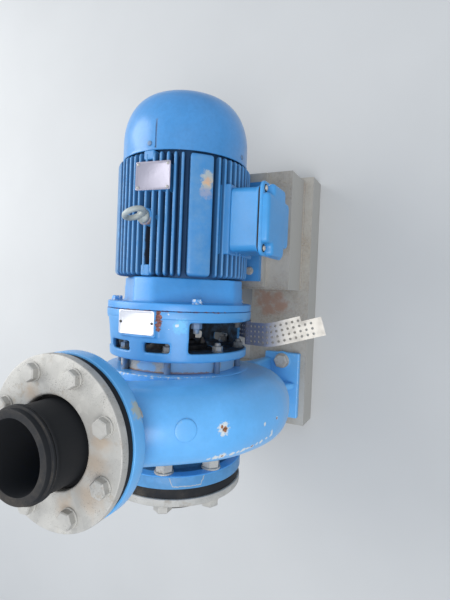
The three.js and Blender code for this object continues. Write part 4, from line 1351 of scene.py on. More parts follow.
class PUMP_OT_guard_strip(Operator):
    """Builds the perforated window guard, sprung out of its place, from a flat sheet with round holes"""
    bl_idname = "pump.guard_strip"
    bl_label = "Guard strip"

    def execute(self, context):
        bm = bmesh.new()
        course = guard_course()
        total = course[-1][0]
        per_side = HOLE_SIDES // 4
        levels = [(r - HOLE_ROWS / 2) * HOLE_ACROSS for r in range(HOLE_ROWS + 1)]
        columns = int((total - LAST_HOLE) / HOLE_ALONG + 0.5)
        tab = total - LAST_HOLE + HOLE_ALONG / 2
        start = tab - columns * HOLE_ALONG

        def mapped(s, w):
            """The place of a flat point on the bent strip."""
            s = min(max(s, 0.0), total)
            i = next(k for k in range(1, len(course)) if course[k][0] >= s - 1e-9)
            (s0, p0, a0), (s1, p1, a1) = course[i - 1], course[i]
            t = (s - s0) / (s1 - s0)
            return p0.lerp(p1, t) + a0.lerp(a1, t) * w

        def patch(*places):
            bm.faces.new([bm.verts.new(mapped(s, w)) for s, w in places])

        def plain(span_s, span_w, parts_s, parts_w=1):
            """A stretch of sheet without a hole, with its edges divided like those of its neighbours."""
            for i in range(parts_s):
                a, b = lerp(span_s, i / parts_s), lerp(span_s, (i + 1) / parts_s)
                for k in range(parts_w):
                    c, d = lerp(span_w, k / parts_w), lerp(span_w, (k + 1) / parts_w)
                    patch((a, c), (b, c), (b, d), (a, d))

        def edges(span_s, parts_s, notched):
            """The two unpierced edges beside a column of holes; past the notch the upper one is cut down."""
            plain(span_s, (-GUARD_HALF, levels[0]), parts_s)
            upper = (levels[-2], levels[-2] + HOLE_ACROSS / 4) if notched else (levels[-1], GUARD_HALF)
            plain(span_s, upper, parts_s)

        def hole(s0, s1, w0, w1):
            corner = [(s1, w0), (s1, w1), (s0, w1), (s0, w0), (s1, w0)]
            rim, edge = [], []
            for k in range(HOLE_SIDES):
                turn = 2 * pi * k / HOLE_SIDES - pi / 4
                rim.append(((s0 + s1) / 2 + HOLE_R * cos(turn), (w0 + w1) / 2 + HOLE_R * sin(turn)))
                side, step = divmod(k, per_side)
                both = zip(corner[side], corner[side + 1])
                edge.append(tuple(lerp(pair, step / per_side) for pair in both))
            for k in range(HOLE_SIDES):
                n = (k + 1) % HOLE_SIDES
                patch(rim[k], edge[k], edge[n], rim[n])

        edges((0.0, start), 1, False)
        plain((0.0, start), (levels[0], levels[-1]), 1, HOLE_ROWS * per_side)
        for c in range(columns):
            s0, s1 = start + c * HOLE_ALONG, start + (c + 1) * HOLE_ALONG
            notched = c >= columns - 2
            edges((s0, s1), per_side, notched)
            for w0, w1 in list(zip(levels, levels[1:]))[:-1 if notched else None]:
                hole(s0, s1, w0, w1)
        edges((tab, total), 3, True)
        plain((tab, total), (levels[0], levels[-2]), 3, (HOLE_ROWS - 1) * per_side)
        bmesh.ops.remove_doubles(bm, verts=bm.verts[:], dist=0.00005)
        sheet = linked(mesh_from(bm, "guard_sheet"), "guard_sheet")
        thick = sheet.modifiers.new("sheet", "SOLIDIFY")
        thick.thickness = GUARD_T * 0.9
        thick.offset = 0.0
        piece_from(settled(sheet), "perforated_guard", stainless("stainless_sheet"), "guard_sheet",
                   ["window_guard_strip"], sharp=25)
        return {"FINISHED"}


# Motor

SHIELD_SEGMENTS = 176
MOTOR_FLANGE_END_X = JOINT_X + 0.014
# Stations of the shield's body as (x, how far it is drawn in)
SHIELD_STATIONS = [
    (MOTOR_FLANGE_END_X - 0.004, -0.004), (MOTOR_FLANGE_END_X, -0.004),
    (MOTOR_FLANGE_END_X + 0.0015, -0.0015), (MOTOR_FLANGE_END_X + 0.005, 0.0),
    (SHIELD_END_X - 0.018, 0.0), (SHIELD_END_X - 0.0165, 0.0012),
    (SHIELD_END_X - 0.003, 0.0012), (SHIELD_END_X - 0.0008, 0.0022), (SHIELD_END_X, 0.005),
]
FIN_PITCH = 5.7
SIDE_PADS = ((36.0, 55.0), (125.0, 144.0))
PLATE_X = (0.405, 0.457)
PLATE_TURN = 6.5
PLATE_HALF = 0.0355
PLATE_SEAT_HALF = 0.029
BOX_SEAT_HALF = (0.066, 0.058)
BOX_SEAT_OUT_Y = -0.1356
FOOT_ROOT_Y = (0.062, 0.098)
LOWER_FIN_R = 0.126
FIN_FOOT_R = CORE_R + 0.003
FIN_START_X = SHIELD_END_X + 0.002
# Blocks on the crown as (low x, high x, low y, high y)
CROWN_BLOCKS = ((0.2495, 0.2700, -0.0135, 0.0055), (0.4615, 0.4785, -0.0160, 0.0065))


def soft_min(a, b, width):
    """The smaller of two values with a rounded change-over."""
    gap = max(width - abs(a - b), 0.0) / width
    return min(a, b) - gap * gap * width / 4


def shield_ring(x, shrink):
    """A round section with four flats, at a station along the shaft."""
    ring = []
    for k in range(SHIELD_SEGMENTS):
        turn = 2 * pi * k / SHIELD_SEGMENTS
        nearest = (round((turn - pi / 4) / (pi / 2)) * pi / 2 + pi / 4) - turn
        limit = SHIELD_FLAT / cos(nearest) if abs(nearest) < pi / 3 else 1.0
        radius = soft_min(SHIELD_BODY_R, limit, 0.0025) - shrink
        ring.append((x, radius * cos(turn), AXIS_Z + radius * sin(turn)))
    return ring


class PUMP_OT_drive_end_shield(Operator):
    """Builds the drive-end shield: a flange and a round body with four flats over the flange bolts"""
    bl_idname = "pump.drive_end_shield"
    bl_label = "Drive-end shield"

    def execute(self, context):
        look = (shield_enamel(), "blue_enamel")
        body = shaped(loft, [shield_ring(*station) for station in SHIELD_STATIONS])
        made_of(body, "shield_body", *look, ["motor_drive_end_shield"], sharp=50)
        joint = JOINT_X + 0.0004
        turned_piece("shield_flange", look, (), [
            (joint, 0.0), (joint, MOTOR_FLANGE_R, 0.001), (MOTOR_FLANGE_END_X, MOTOR_FLANGE_R, 0.003),
            (MOTOR_FLANGE_END_X, 0.0)], 0.002, closed=False)
        return {"FINISHED"}


def fins():
    """Every fin as its angle about the shaft and the radius of its edge."""
    upper = [90.0]
    for side in (1, -1):
        upper += [90 + side * (6.5 + FIN_PITCH * k) for k in range(5)]
        turn = 59.3
        while turn < 126:
            upper.append(90 + side * turn)
            turn += FIN_PITCH
    lower = [270 + FIN_PITCH * k for k in range(-3, 4)]
    return [(angle, FIN_R) for angle in upper] + [(angle, LOWER_FIN_R) for angle in lower]


def ridge(bm, outline, corner, drawn_in):
    """A fin or pad along the shaft, over an outline of (degrees, radius), with its two ends rounded over."""
    steps = 5
    top = max(r for _, r in outline)
    stations = []
    for k in range(steps + 1):
        drop = corner - sqrt(max(0.0, corner ** 2 - (corner * (1 - k / steps)) ** 2))
        stations.append((FIN_START_X + corner * k / steps, drop))
    stations += [(FIN_START_X + FIN_END_X - x, drop) for x, drop in reversed(stations)]
    centre = (outline[0][0] + outline[-1][0]) / 2
    rings = []
    for x, drop in stations:
        ring = []
        for a, r in outline:
            narrow = min(degrees(drawn_in * drop / r), 0.75 * abs(a - centre))
            radius = min(r, max(top - drop, CORE_R - 0.002))
            ring.append(about_shaft(radius, a - copysign(narrow, a - centre), x))
        rings.append(ring)
    loft(bm, rings)


class PUMP_OT_motor_frame(Operator):
    """Builds the finned motor shell with its side pads, seats and foot roots"""
    bl_idname = "pump.motor_frame"
    bl_label = "Motor frame"

    def execute(self, context):
        casting = context.scene.pump_casting
        bm = shaped(solid_rod, SHIELD_END_X, CORE_END_X, CORE_R, segments=128)
        root = CORE_R - 0.003
        for angle, top in fins():
            half_root = degrees(casting.fin_root / 2 / CORE_R)
            half_tip = degrees(casting.fin_tip / 2 / top)
            flank = [(half_root * 1.5, root), (half_root, FIN_FOOT_R), (half_tip, top - 0.0022),
                     (half_tip * 0.62, top - 0.0006)]
            outline = [(angle - off, r) for off, r in flank] + [(angle, top)]
            outline += [(angle + off, r) for off, r in reversed(flank)]
            ridge(bm, outline, 0.009, 0.35)
        for start, end in SIDE_PADS:
            flank = [(-0.8, root), (-0.3, FIN_FOOT_R), (0.0, FIN_R - 0.003), (0.5, FIN_R - 0.0006)]
            outline = [(start + off, r) for off, r in flank]
            outline += [(start + 1.2 + (end - start - 2.4) * k / 8, FIN_R) for k in range(9)]
            outline += [(end - off, r) for off, r in reversed(flank)]
            ridge(bm, outline, 0.010, 0.8)
        made_of(bm, "finned_shell", motor_enamel(), "faded_blue_enamel", ["motor_frame"], sharp=50)

        along, up = BOX_SEAT_HALF
        bm = shaped(slab, (BOX_X - along, BOX_SEAT_OUT_Y, AXIS_Z - up), (BOX_X + along, -0.100, AXIS_Z + up))
        slab(bm, (PLATE_X[0], -PLATE_SEAT_HALF, AXIS_Z + 0.104),
             (PLATE_X[1], PLATE_SEAT_HALF, AXIS_Z + FIN_R), PLATE_TURN)
        foot_low, foot_high = ends("motor_foot_near", 0)
        for low_y, high_y in (FOOT_ROOT_Y, (-FOOT_ROOT_Y[1], -FOOT_ROOT_Y[0])):
            slab(bm, (foot_low, low_y, FEET_Z + 0.028), (foot_high, high_y, AXIS_Z - 0.062))
        for low_x, high_x, low_y, high_y in CROWN_BLOCKS:
            slab(bm, (low_x, low_y, AXIS_Z + 0.105), (high_x, high_y, AXIS_Z + FIN_R - 0.0008))
        stack(bm, seat((EYE_X, 0, AXIS_Z + 0.100)),
              [(0.0, 0.0185), (0.030, 0.0175), (FIN_R + 0.001 - 0.100, 0.0155)], 40)
        plain = seat_enamel()
        made_of(bm, "frame_seats", plain, "faded_blue_enamel", bevel=0.0025, steps=3)
        for node in ("motor_foot_near", "motor_foot_far"):
            dress(node, plain, bevel=0.0025, steps=3)
        return {"FINISHED"}


COWL_SHEET = 0.0025
COWL_DOME_X = 0.520
COWL_FLAT_R = 0.068
COWL_LIP = 0.0007
COWL_SLOTS = 12
COWL_SLOT_R = (0.028, 0.062)
COWL_SLOT_HALF = 0.0045


def cowl_shell(inset):
    """The cowl's outline from its open edge to the flat of its end, by how far it lies inside."""
    if inset:
        points = [(COWL_EDGE_X, COWL_R - inset)]
        lip = 0.0
    else:
        points = [(COWL_EDGE_X, COWL_R - 0.0006), (COWL_EDGE_X + 0.0008, COWL_R),
                  (COWL_EDGE_X + 0.006, COWL_R), (COWL_EDGE_X + 0.008, COWL_R - COWL_LIP)]
        lip = COWL_LIP
    steps = 22
    for i in range(steps + 1):
        turn = pi / 2 * i / steps
        points.append((COWL_DOME_X + (COWL_END_X - COWL_DOME_X - inset) * sin(turn),
                       COWL_FLAT_R + (COWL_R - lip - inset - COWL_FLAT_R) * cos(turn)))
    return points


def cowl_slot(bm, angle):
    """A slot with round ends, counted from the top towards the near side."""
    low, high = COWL_END_X - 0.006, COWL_END_X + 0.001
    inner, outer = COWL_SLOT_R
    slab(bm, (low, -COWL_SLOT_HALF, AXIS_Z + inner), (high, COWL_SLOT_HALF, AXIS_Z + outer), angle)
    for radius in COWL_SLOT_R:
        y, z = -radius * sin(radians(angle)), AXIS_Z + radius * cos(radians(angle))
        rod(bm, (low, y, z), (high, y, z), COWL_SLOT_HALF, 16)


class PUMP_OT_fan_cowl(Operator):
    """Builds the pressed fan cowl with its slots, and finishes the fan and the shield behind it"""
    bl_idname = "pump.fan_cowl"
    bl_label = "Fan cowl"

    def execute(self, context):
        profile = [(COWL_END_X, 0.0), *reversed(cowl_shell(0.0)), *cowl_shell(COWL_SHEET),
                   (COWL_END_X - COWL_SHEET, 0.0)]
        shell = mesh_from(shaped(turned, profile, segments=144, closed=False), "cowl_shell")
        cuts = [shaped(cowl_slot, 360.0 / COWL_SLOTS * (i + 0.5)) for i in range(COWL_SLOTS)]
        cuts.append(shaped(slab, (COWL_EDGE_X + 0.004, -0.0018, AXIS_Z + COWL_R - 0.0019),
                           (COWL_EDGE_X + 0.080, 0.0018, AXIS_Z + COWL_R + 0.002), 5.8))
        piece_from(carved(shell, *cuts), "pressed_cowl", cowl_enamel(), "blue_enamel", ["motor_fan_cowl"],
                   sharp=35)
        dress("motor_fan_end_shield", seat_enamel(), bevel=0.002)
        dress("motor_cooling_fan", plastic("fan_plastic", 0.2), bevel=0.0008)
        return {"FINISHED"}


# Terminal box

BOX_RIM_Y, BOX_SEAT_Y = ends("terminal_box", 1)
LID_FACE_Y = BOX_RIM_Y - 0.0086
LID_PANEL_Y = ends("terminal_box_lid", 1)[0]
# Levels as (y, length, height, corner radius)
BOX_LEVELS = [
    (BOX_SEAT_Y, 0.120, 0.110, 0.012), (BOX_SEAT_Y - 0.002, 0.121, 0.111, 0.012),
    (BOX_RIM_Y + 0.009, 0.119, 0.109, 0.013), (BOX_RIM_Y + 0.007, 0.122, 0.112, 0.014),
    (BOX_RIM_Y + 0.0008, 0.122, 0.112, 0.014), (BOX_RIM_Y, 0.1205, 0.1105, 0.014),
]
GASKET_LEVELS = [(BOX_RIM_Y + 0.0026, 0.1227, 0.1127, 0.014), (BOX_RIM_Y - 0.0030, 0.1227, 0.1127, 0.014)]
LID_LEVELS = [
    (BOX_RIM_Y - 0.0020, 0.1330, 0.1210, 0.0130), (BOX_RIM_Y - 0.0028, 0.1355, 0.1235, 0.0140),
    (BOX_RIM_Y - 0.0044, 0.1360, 0.1240, 0.0140), (LID_FACE_Y + 0.0016, 0.1360, 0.1240, 0.0140),
    (LID_FACE_Y + 0.0004, 0.1350, 0.1230, 0.0140), (LID_FACE_Y, 0.1330, 0.1210, 0.0135),
]
# The raised panel as (y, how far it is drawn in)
PANEL_LEVELS = [
    (LID_FACE_Y + 0.0010, 0.0), (LID_PANEL_Y + 0.0065, 0.0004), (LID_PANEL_Y + 0.0036, 0.0012),
    (LID_PANEL_Y + 0.0016, 0.0028), (LID_PANEL_Y + 0.0005, 0.0050), (LID_PANEL_Y, 0.0085),
]
PANEL_HALF = (0.0672, 0.0612)
PANEL_NOTCH = (0.0215, 0.0260)
LID_SCREW_AT = (0.0545, 0.0485)
# Collar, hexagon and nose as levels of (depth, radius), with their sides
CABLE_GLAND = [
    ([(0.0, 0.0150), (0.006, 0.0150)], 32),
    ([(0.005, 0.0168), (0.0055, 0.0176), (0.0105, 0.0176), (0.011, 0.0168)], 6),
    ([(0.010, 0.0152), (0.0165, 0.0150), (0.0200, 0.0138), (0.0240, 0.0118), (0.0260, 0.0095)], 24),
]


def box_ring(y, length_x, height, corner):
    """A rounded rectangle about the terminal box's centre."""
    a, b = length_x / 2 - corner, height / 2 - corner
    ring = []
    for cx, cz, start in ((a, -b, -90), (a, b, 0), (-a, b, 90), (-a, -b, 180)):
        for k in range(9):
            turn = radians(start + 90 * k / 8)
            ring.append((BOX_X + cx + corner * cos(turn), y, AXIS_Z + cz + corner * sin(turn)))
    return ring


def box_shell(levels):
    """Mesh work with a rounded rectangle at each level."""
    return shaped(loft, [box_ring(*level) for level in levels])


def panel_ring(y, inset):
    """A rectangle about the terminal box's centre, cut away at its four corners."""
    x, z = (half - inset for half in PANEL_HALF)
    in_x, in_z = x - PANEL_NOTCH[0], z - PANEL_NOTCH[1]
    corners = [(x, -in_z), (x, in_z), (in_x, in_z), (in_x, z), (-in_x, z), (-in_x, in_z),
               (-x, in_z), (-x, -in_z), (-in_x, -in_z), (-in_x, -z), (in_x, -z), (in_x, -in_z)]
    return [(BOX_X + a, y, AXIS_Z + b) for a, b in rounded(corners, 0.0085, 5)]


class PUMP_OT_terminal_box(Operator):
    """Builds the terminal box with its gasket, its raised lid with four screws, and the cable gland"""
    bl_idname = "pump.terminal_box"
    bl_label = "Terminal box"

    def execute(self, context):
        look = (box_enamel(), "blue_enamel")
        rubber = (plastic("gasket_rubber", 0.3), "pipe_plastic")
        made_of(box_shell(BOX_LEVELS), "terminal_box_body", *look, ["terminal_box"], sharp=50)
        made_of(box_shell(GASKET_LEVELS), "terminal_box_gasket", *rubber)
        lid = box_shell(LID_LEVELS)
        loft(lid, [panel_ring(*level) for level in PANEL_LEVELS])
        made_of(lid, "terminal_box_cover", *look, ["terminal_box_lid"], sharp=55)

        screws, seats = bmesh.new(), bmesh.new()
        for x in (-LID_SCREW_AT[0], LID_SCREW_AT[0]):
            for z in (-LID_SCREW_AT[1], LID_SCREW_AT[1]):
                round_head(seats, (BOX_X + x, LID_FACE_Y + 0.0002, AXIS_Z + z), NEARWARD, 0.0076, 0.0010)
                round_head(screws, (BOX_X + x, LID_FACE_Y + 0.0010, AXIS_Z + z), NEARWARD, 0.0050, 0.0045)
        made_of(screws, "terminal_box_screws", zinc_coat("screw_zinc", 0.35), "galvanised_steel")
        made_of(seats, "terminal_box_screw_seats", *rubber)

        gland_top = (middle("cable_gland", 0), middle("cable_gland", 1), ends("cable_gland", 2)[1])
        down = Matrix.Translation(gland_top) @ Matrix.Rotation(pi, 4, "X")
        gland = bmesh.new()
        for levels, sides in CABLE_GLAND:
            stack(gland, down, levels, sides)
        made_of(gland, "cable_gland_body", plastic("moulded_plastic"), "pipe_plastic", ["cable_gland"],
                sharp=40)
        return {"FINISHED"}


# Plates and lifting eye

PLATE_T = 0.0009
# Levels of a plate as (how far it is drawn in, height)
PLATE_LEVELS = [
    (0.0, 0.0), (0.0, PLATE_T * 0.7), (0.0004, PLATE_T), (0.0026, PLATE_T), (0.0031, PLATE_T * 0.72),
]


def label_plate(name, node, span, half, level, turn, material, rivets, rivet_material):
    """A thin sheet with a pressed rim and its rivets, on a flat about the shaft."""
    outline = rounded([(span[0], -half), (span[1], -half), (span[1], half), (span[0], half)], 0.0035, 5)
    centre, size = (span[0] + span[1]) / 2, span[1] - span[0]
    rings = []
    for inset, height in PLATE_LEVELS:
        along, across, z = 1 - inset / size * 2, 1 - inset / half, AXIS_Z + level + height
        rings.append([(centre + (x - centre) * along, y * across, z) for x, y in outline])
    sheet = shaped(loft, rings)
    heads = bmesh.new()
    for x, y in rivets:
        round_head(heads, (x, y, AXIS_Z + level + PLATE_T * 0.7), UP, 0.0026, 0.0016)
    for bm in (sheet, heads):
        spin(bm, bm.verts[:], turn)
    made_of(sheet, name, material, "label_metal", [node], sharp=30)
    made_of(heads, f"{name}_rivets", rivet_material, "label_metal")


class PUMP_OT_plates(Operator):
    """Builds the two bare label plates with their rivets"""
    bl_idname = "pump.plates"
    bl_label = "Plates"

    def execute(self, context):
        colours = context.scene.pump_colours
        pink = [colours.plate[0] * 0.53, colours.plate[1] * 0.51, colours.plate[2] * 0.58]
        label_plate("motor_plate", "motor_label_plate", PLATE_X, PLATE_HALF, FIN_R + 0.0008, PLATE_TURN,
                    label_sheet("motor_plate_sheet", pink),
                    [(x, y) for x in (PLATE_X[0] + 0.005, PLATE_X[1] - 0.005) for y in (-0.0300, 0.0300)],
                    label_sheet("rivet_metal", colours.zinc))
        label_plate("lantern_plate", "lantern_label_plate", LABEL_X, LABEL_HALF, LABEL_LEVEL + 0.0003,
                    LABEL_TURN, label_sheet("lantern_plate_sheet", shade(colours.plate, 1.15)),
                    [(0.163, y) for y in (-0.0350, 0.0350)],
                    steel("dark_rivet", (0.08, 0.08, 0.08), 0.2, 0.5))
        return {"FINISHED"}


EYE_RING_R = 0.0175
EYE_BAR_R = 0.0050
EYE_RISE = 0.0280
EYE_TURN = 24.0
EYE_COLLAR = [
    (0.0, 0.0125), (0.0008, 0.0130), (0.0052, 0.0130), (0.0064, 0.0120), (0.0080, 0.0085), (0.0100, 0.0068),
]


class PUMP_OT_lifting_eye(Operator):
    """Builds the lifting eye: a ring with a neck on a round collar"""
    bl_idname = "pump.lifting_eye"
    bl_label = "Lifting eye"

    def execute(self, context):
        centre = Vector((EYE_X, 0.0, EYE_SEAT_Z + EYE_RISE))
        plane = Matrix.Rotation(radians(EYE_TURN), 3, "Z")
        rings = []
        for i in range(64):
            around = 2 * pi * i / 64
            bar = EYE_BAR_R * (1.0 + 0.14 * max(0.0, -sin(around)) ** 4)
            ring = []
            for k in range(20):
                section = 2 * pi * k / 20
                out = EYE_RING_R + bar * cos(section)
                spot = Vector((bar * sin(section), out * cos(around), out * sin(around)))
                ring.append(centre + plane @ spot)
            rings.append(ring)
        bm = shaped(loft, rings, closed=True)
        stack(bm, seat((EYE_X, 0, EYE_SEAT_Z)), EYE_COLLAR, 40)
        zinc = zinc_coat("eye_zinc", 0.30, tone=(0.345, 0.375, 0.360))
        made_of(bm, "eye_bolt", zinc, "galvanised_steel", ["lifting_eye"], sharp=60)
        return {"FINISHED"}


# Fasteners and base

MOTOR_FOOT_BOLTS = [(x, y) for y in (0.1080, -0.1080) for x in (0.275, 0.453)]
MOTOR_FOOT_T = 0.015
STUD_NUT_X = 0.109
MOTOR_NUT_X = JOINT_X - 0.020
COWL_SCREW_X = COWL_EDGE_X + 0.013
WELD_R = 0.0042
STUD_COLOUR = (0.19, 0.21, 0.23)
STOOL_Y = (0.065, 0.190)


def ring_bolts(name, look, count, thread, at, head, nut, stub):
    """Bolts round a pipe ring; head and nut are given as (station, direction, turn from bolt to bolt)."""
    bm = bmesh.new()
    for i in range(count):
        for (station, axis, turn), bare in ((head, 0.0), (nut, stub)):
            hex_head(bm, at(360.0 / count * (i + 0.5), station), axis, thread, turn * i, bare)
    made_of(bm, name, *look, sharp=30)


class PUMP_OT_fasteners(Operator):
    """Builds the bolts, nuts, studs and washers that hold the set together"""
    bl_idname = "pump.fasteners"
    bl_label = "Fasteners"

    def execute(self, context):
        sizes = context.scene.pump_hardware
        zinc = (zinc_coat("bolt_zinc", 0.40), "galvanised_steel")
        mixed_in = halfway(context.scene.pump_colours.motor, STUD_COLOUR)
        stud = (steel("stud_steel", STUD_COLOUR, 0.20, 0.55, 0.2, paint=mixed_in), "bright_steel")

        def on_discharge(angle, z):
            turn = radians(angle)
            return (sizes.discharge_circle * cos(turn), sizes.discharge_circle * sin(turn), z)

        def on_suction(angle, x):
            return about_shaft(sizes.suction_circle, angle, x)

        ring_bolts("discharge_bolts", zinc, sizes.ring_bolts, sizes.discharge_bolt, on_discharge,
                   (DISCHARGE_RING_Z[1], UP, 0.9), (DISCHARGE_UNDER_Z, DOWN, 0.7), 0.006)
        ring_bolts("suction_bolts", zinc, sizes.ring_bolts, sizes.suction_bolt, on_suction,
                   (SUCTION_RING_X[0], TO_SUCTION, 0.5), (SUCTION_BACK_X, TO_FAN, 0.8), 0.008)

        bm = bmesh.new()
        thread, circle = sizes.casing_stud, sizes.casing_circle
        for i in range(8):
            angle = 22.5 + 45.0 * i
            rod(bm, about_shaft(circle, angle, CASING_FRONT_X - 0.002),
                about_shaft(circle, angle, LANTERN_FRONT_X + 0.001), thread / 2)
            hex_head(bm, about_shaft(circle, angle, STUD_NUT_X), TO_FAN, thread, turn=0.4 * i, stub=0.006)
        made_of(bm, "casing_studs", *stud, sharp=30)

        heads, nuts, screws = bmesh.new(), bmesh.new(), bmesh.new()
        thread, circle = sizes.motor_bolt, sizes.motor_circle
        for angle in (45, 135, 225, 315):
            hex_head(heads, about_shaft(circle, angle, MOTOR_FLANGE_END_X), TO_FAN, thread, turn=0.3 + angle)
            hex_head(nuts, about_shaft(circle, angle, MOTOR_NUT_X), TO_SUCTION, thread, stub=0.009)
        for angle in (0, 90, 180, 270):
            on_cowl = about_shaft(COWL_R - 0.0012, angle, COWL_SCREW_X)
            round_head(screws, on_cowl, outward(angle), 0.0046, 0.0026)
        made_of(heads, "motor_bolts", shield_enamel(), "blue_enamel", sharp=30)
        made_of(nuts, "motor_nuts", *stud, sharp=30)
        made_of(screws, "cowl_screws", *stud, sharp=30)

        bm = bmesh.new()
        for x, y in PUMP_FOOT_BOLTS:
            hex_head(bm, (x, y, BASE_TOP + FOOT_T), UP, sizes.pump_foot_bolt, turn=copysign(0.6, y))
        for x, y in MOTOR_FOOT_BOLTS:
            hex_head(bm, (x, y, FEET_Z + MOTOR_FOOT_T), UP, sizes.motor_foot_bolt, turn=0.4)
        made_of(bm, "foot_bolts", zinc_coat("foot_bolt_zinc", 0.65), "galvanised_steel", sharp=30)
        return {"FINISHED"}


class PUMP_OT_base(Operator):
    """Finishes the rails, stools, packers and cross members, and adds the weld beads between them"""
    bl_idname = "pump.base"
    bl_label = "Base"

    def execute(self, context):
        coat = steelwork("base_steelwork", 0.50, RAIL_RUST)
        rusty = steelwork("packer_steel", 0.75)
        for nodes, material, bevel, steps in (
                (("base_rail_near", "base_rail_far"), coat, 0.0022, 3),
                (("motor_stool_near", "motor_stool_far"), coat, 0.0040, 3),
                (("base_cross_member_pump", "base_cross_member_motor"), coat, 0.0012, 2),
                (("motor_packer_near", "motor_packer_far"), rusty, 0.0010, 2)):
            for node in nodes:
                dress(node, material, bevel, steps)
        bm = bmesh.new()
        low_x, high_x = ends("motor_stool_near", 0)
        z = BASE_TOP + 0.0006
        for side in (1, -1):
            inner, outer = (side * y for y in STOOL_Y)
            for x in (low_x, high_x):
                weld_bead(bm, (x, inner, z), (x, outer, z), WELD_R)
            weld_bead(bm, (low_x, outer, z), (high_x, outer, z), WELD_R)
        made_of(bm, "weld_beads", coat, "dusty_steel", sharp=80)
        return {"FINISHED"}


# Finishes with their own marks

def marks(*spots):
    """Marks given as (x, y, z, radius) in millimetres, with a colour if asked; they come in metres."""
    return [((x / 1000, y / 1000, z / 1000), radius / 1000, *colour) for x, y, z, radius, *colour in spots]


CASING_CHIPS = marks(
    (9, -194, 496, 11.2), (-39, -208, 447, 6.4), (-37, -217, 430, 6.0), (-33, -226, 408, 5.0),
    (-27, -234, 382, 4.4), (-42, -186, 482, 8.6), (-42, -178, 490, 7.0), (-41, -197, 466, 5.6),
    (2, -241, 373, 3.4), (0, -232, 411, 3.0), (-20, -238, 385, 4.0), (-40, -203, 457, 3.8),
    (-37, -212, 439, 4.0), (-35, -222, 419, 3.6), (-30, -230, 395, 3.2), (-42, -170, 498, 4.2))
CASING_RUST = marks(
    (8, -195, 494, 5.0), (12, -193, 499, 3.4), (-36, -217, 430, 3.0), (-41, -186, 482, 2.6),
    (2, -241, 373, 2.4))
CASING_STAINS = marks((40, -80, 520, 20), (-60, -60, 560, 30))
CASING_TINTS = marks(
    (55, -115, 614, 16, (0.420, 0.430, 0.330)), (30, -150, 560, 12, (0.210, 0.450, 0.680)),
    (9, -194, 496, 5.0, (0.600, 0.360, 0.200)))
# As (low station, high station, radius, angle, half width)
SUCTION_PAD = (-0.1345, -0.1185, 0.140, 131.5, 0.026)
COVER_PAINT = marks((78, -79, 415, 52), (75, -120, 325, 45), (76, -3, 445, 22))
LANTERN_RUST = marks(
    (183, -43, 469, 5.2), (176, -44, 469, 6.0), (168, -44, 469, 6.6), (160, -43, 469, 6.2),
    (152, -43, 468, 5.2), (112, -100, 408, 5.0))
LANTERN_RUST_TONE = (0.215, 0.080, 0.062)
LANTERN_CHIPS = marks((161, -74, 455, 3.2), (154, -62, 462, 2.0), (181, -60, 462, 2.2))
LANTERN_TINTS = marks((159, -79, 452, 17, (0.100, 0.470, 0.760)))
# A deeper blue over the far side of the fins is painted shade.
FAR_SIDE_SHADE_BLUE = (0.026, 0.150, 0.350)
MOTOR_TINTS = marks(
    (433, -103, 415, 16, (0.520, 0.500, 0.410)), (420, -103, 416, 16, (0.560, 0.480, 0.330)),
    (404, -102, 417, 14, (0.300, 0.320, 0.440)), (425, -104, 416, 9.5, (0.700, 0.390, 0.200)),
    *((x, 96, 428, 60, FAR_SIDE_SHADE_BLUE) for x in (290, 365, 440)))
# A near-black strip along the groove beside the central fin.
GROOVE_BLACK_SPOTS = marks(*((x, -5, 450, 13.5) for x in range(278, 342, 9)))
SEAT_TINTS = marks(
    (343, 6, 464, 8.0, (0.260, 0.180, 0.140)), (342, -2, 464, 8.0, (0.280, 0.190, 0.145)),
    (343, -9, 464, 7.5, (0.300, 0.160, 0.085)), (349, -14, 463, 8.0, (0.190, 0.140, 0.120)))
RAIL_RUST = marks((208, -104, 75, 36), (206, -128, 75, 36), (196, -148, 75, 26), (186, -108, 75, 30))
RING_DIRT = marks(
    (-14, -82, 660, 34), (20, -90, 660, 26), (-58, -76, 660, 34), (-88, -30, 660, 26), (66, 44, 660, 22))


def casing_enamel():
    return enamel(
        "casing_enamel", bpy.context.scene.pump_colours.casting, CASING_CHIPS, CASING_RUST, CASING_STAINS,
        chipped_bands=[
            (0.0665, 0.1475, 0.0030, 112.0, 40.0, 0.44), (0.0665, 0.1475, 0.0030, 70.0, 14.0, 0.42),
            (-0.1130, 0.1400, 0.0030, 150.0, 60.0, 0.42)],
        tints=CASING_TINTS, pads=[SUCTION_PAD],
        # Painted shade in the suction neck and over the suction flange.
        recesses=[(-0.1185, -0.0720, 0.122, 0.75), (-0.1420, -0.1165, 0.150, 0.42)],
        wear=0.75, dust=0.45, coat=0.35)


def lantern_enamel():
    colours = bpy.context.scene.pump_colours
    return enamel(
        "lantern_enamel", halfway(colours.casting, colours.motor), LANTERN_CHIPS, LANTERN_RUST,
        tints=LANTERN_TINTS, rusty_bands=[
            (JOINT_X, 0.1500, 0.0013, 100.0, 58.0, 0.50), (0.1830, 0.1508, 0.0013, 143.3, 3.2, 0.62)],
        # Painted shade inside the lantern.
        recesses=[(0.098, 0.300, 0.1415, 0.97)], wear=0.6, dust=0.25, rust_tone=LANTERN_RUST_TONE)


def shield_enamel():
    return enamel(
        "shield_enamel", shade(bpy.context.scene.pump_colours.motor, 1.32),
        rusty_bands=[(JOINT_X, 0.1500, 0.0012, 100.0, 58.0, 0.46)],
        # Painted shade in the two slits where the frame meets the shield.
        dark_bands=[(0.2468, 0.1330, 0.0016, 94.5, 3.0, 0.62), (0.2468, 0.1330, 0.0016, 175.0, 5.0, 0.62)],
        # Painted shade inside the lantern's window.
        recesses=[(0.150, 0.187, 0.130, 0.97)], wear=0.6, dust=0.4)


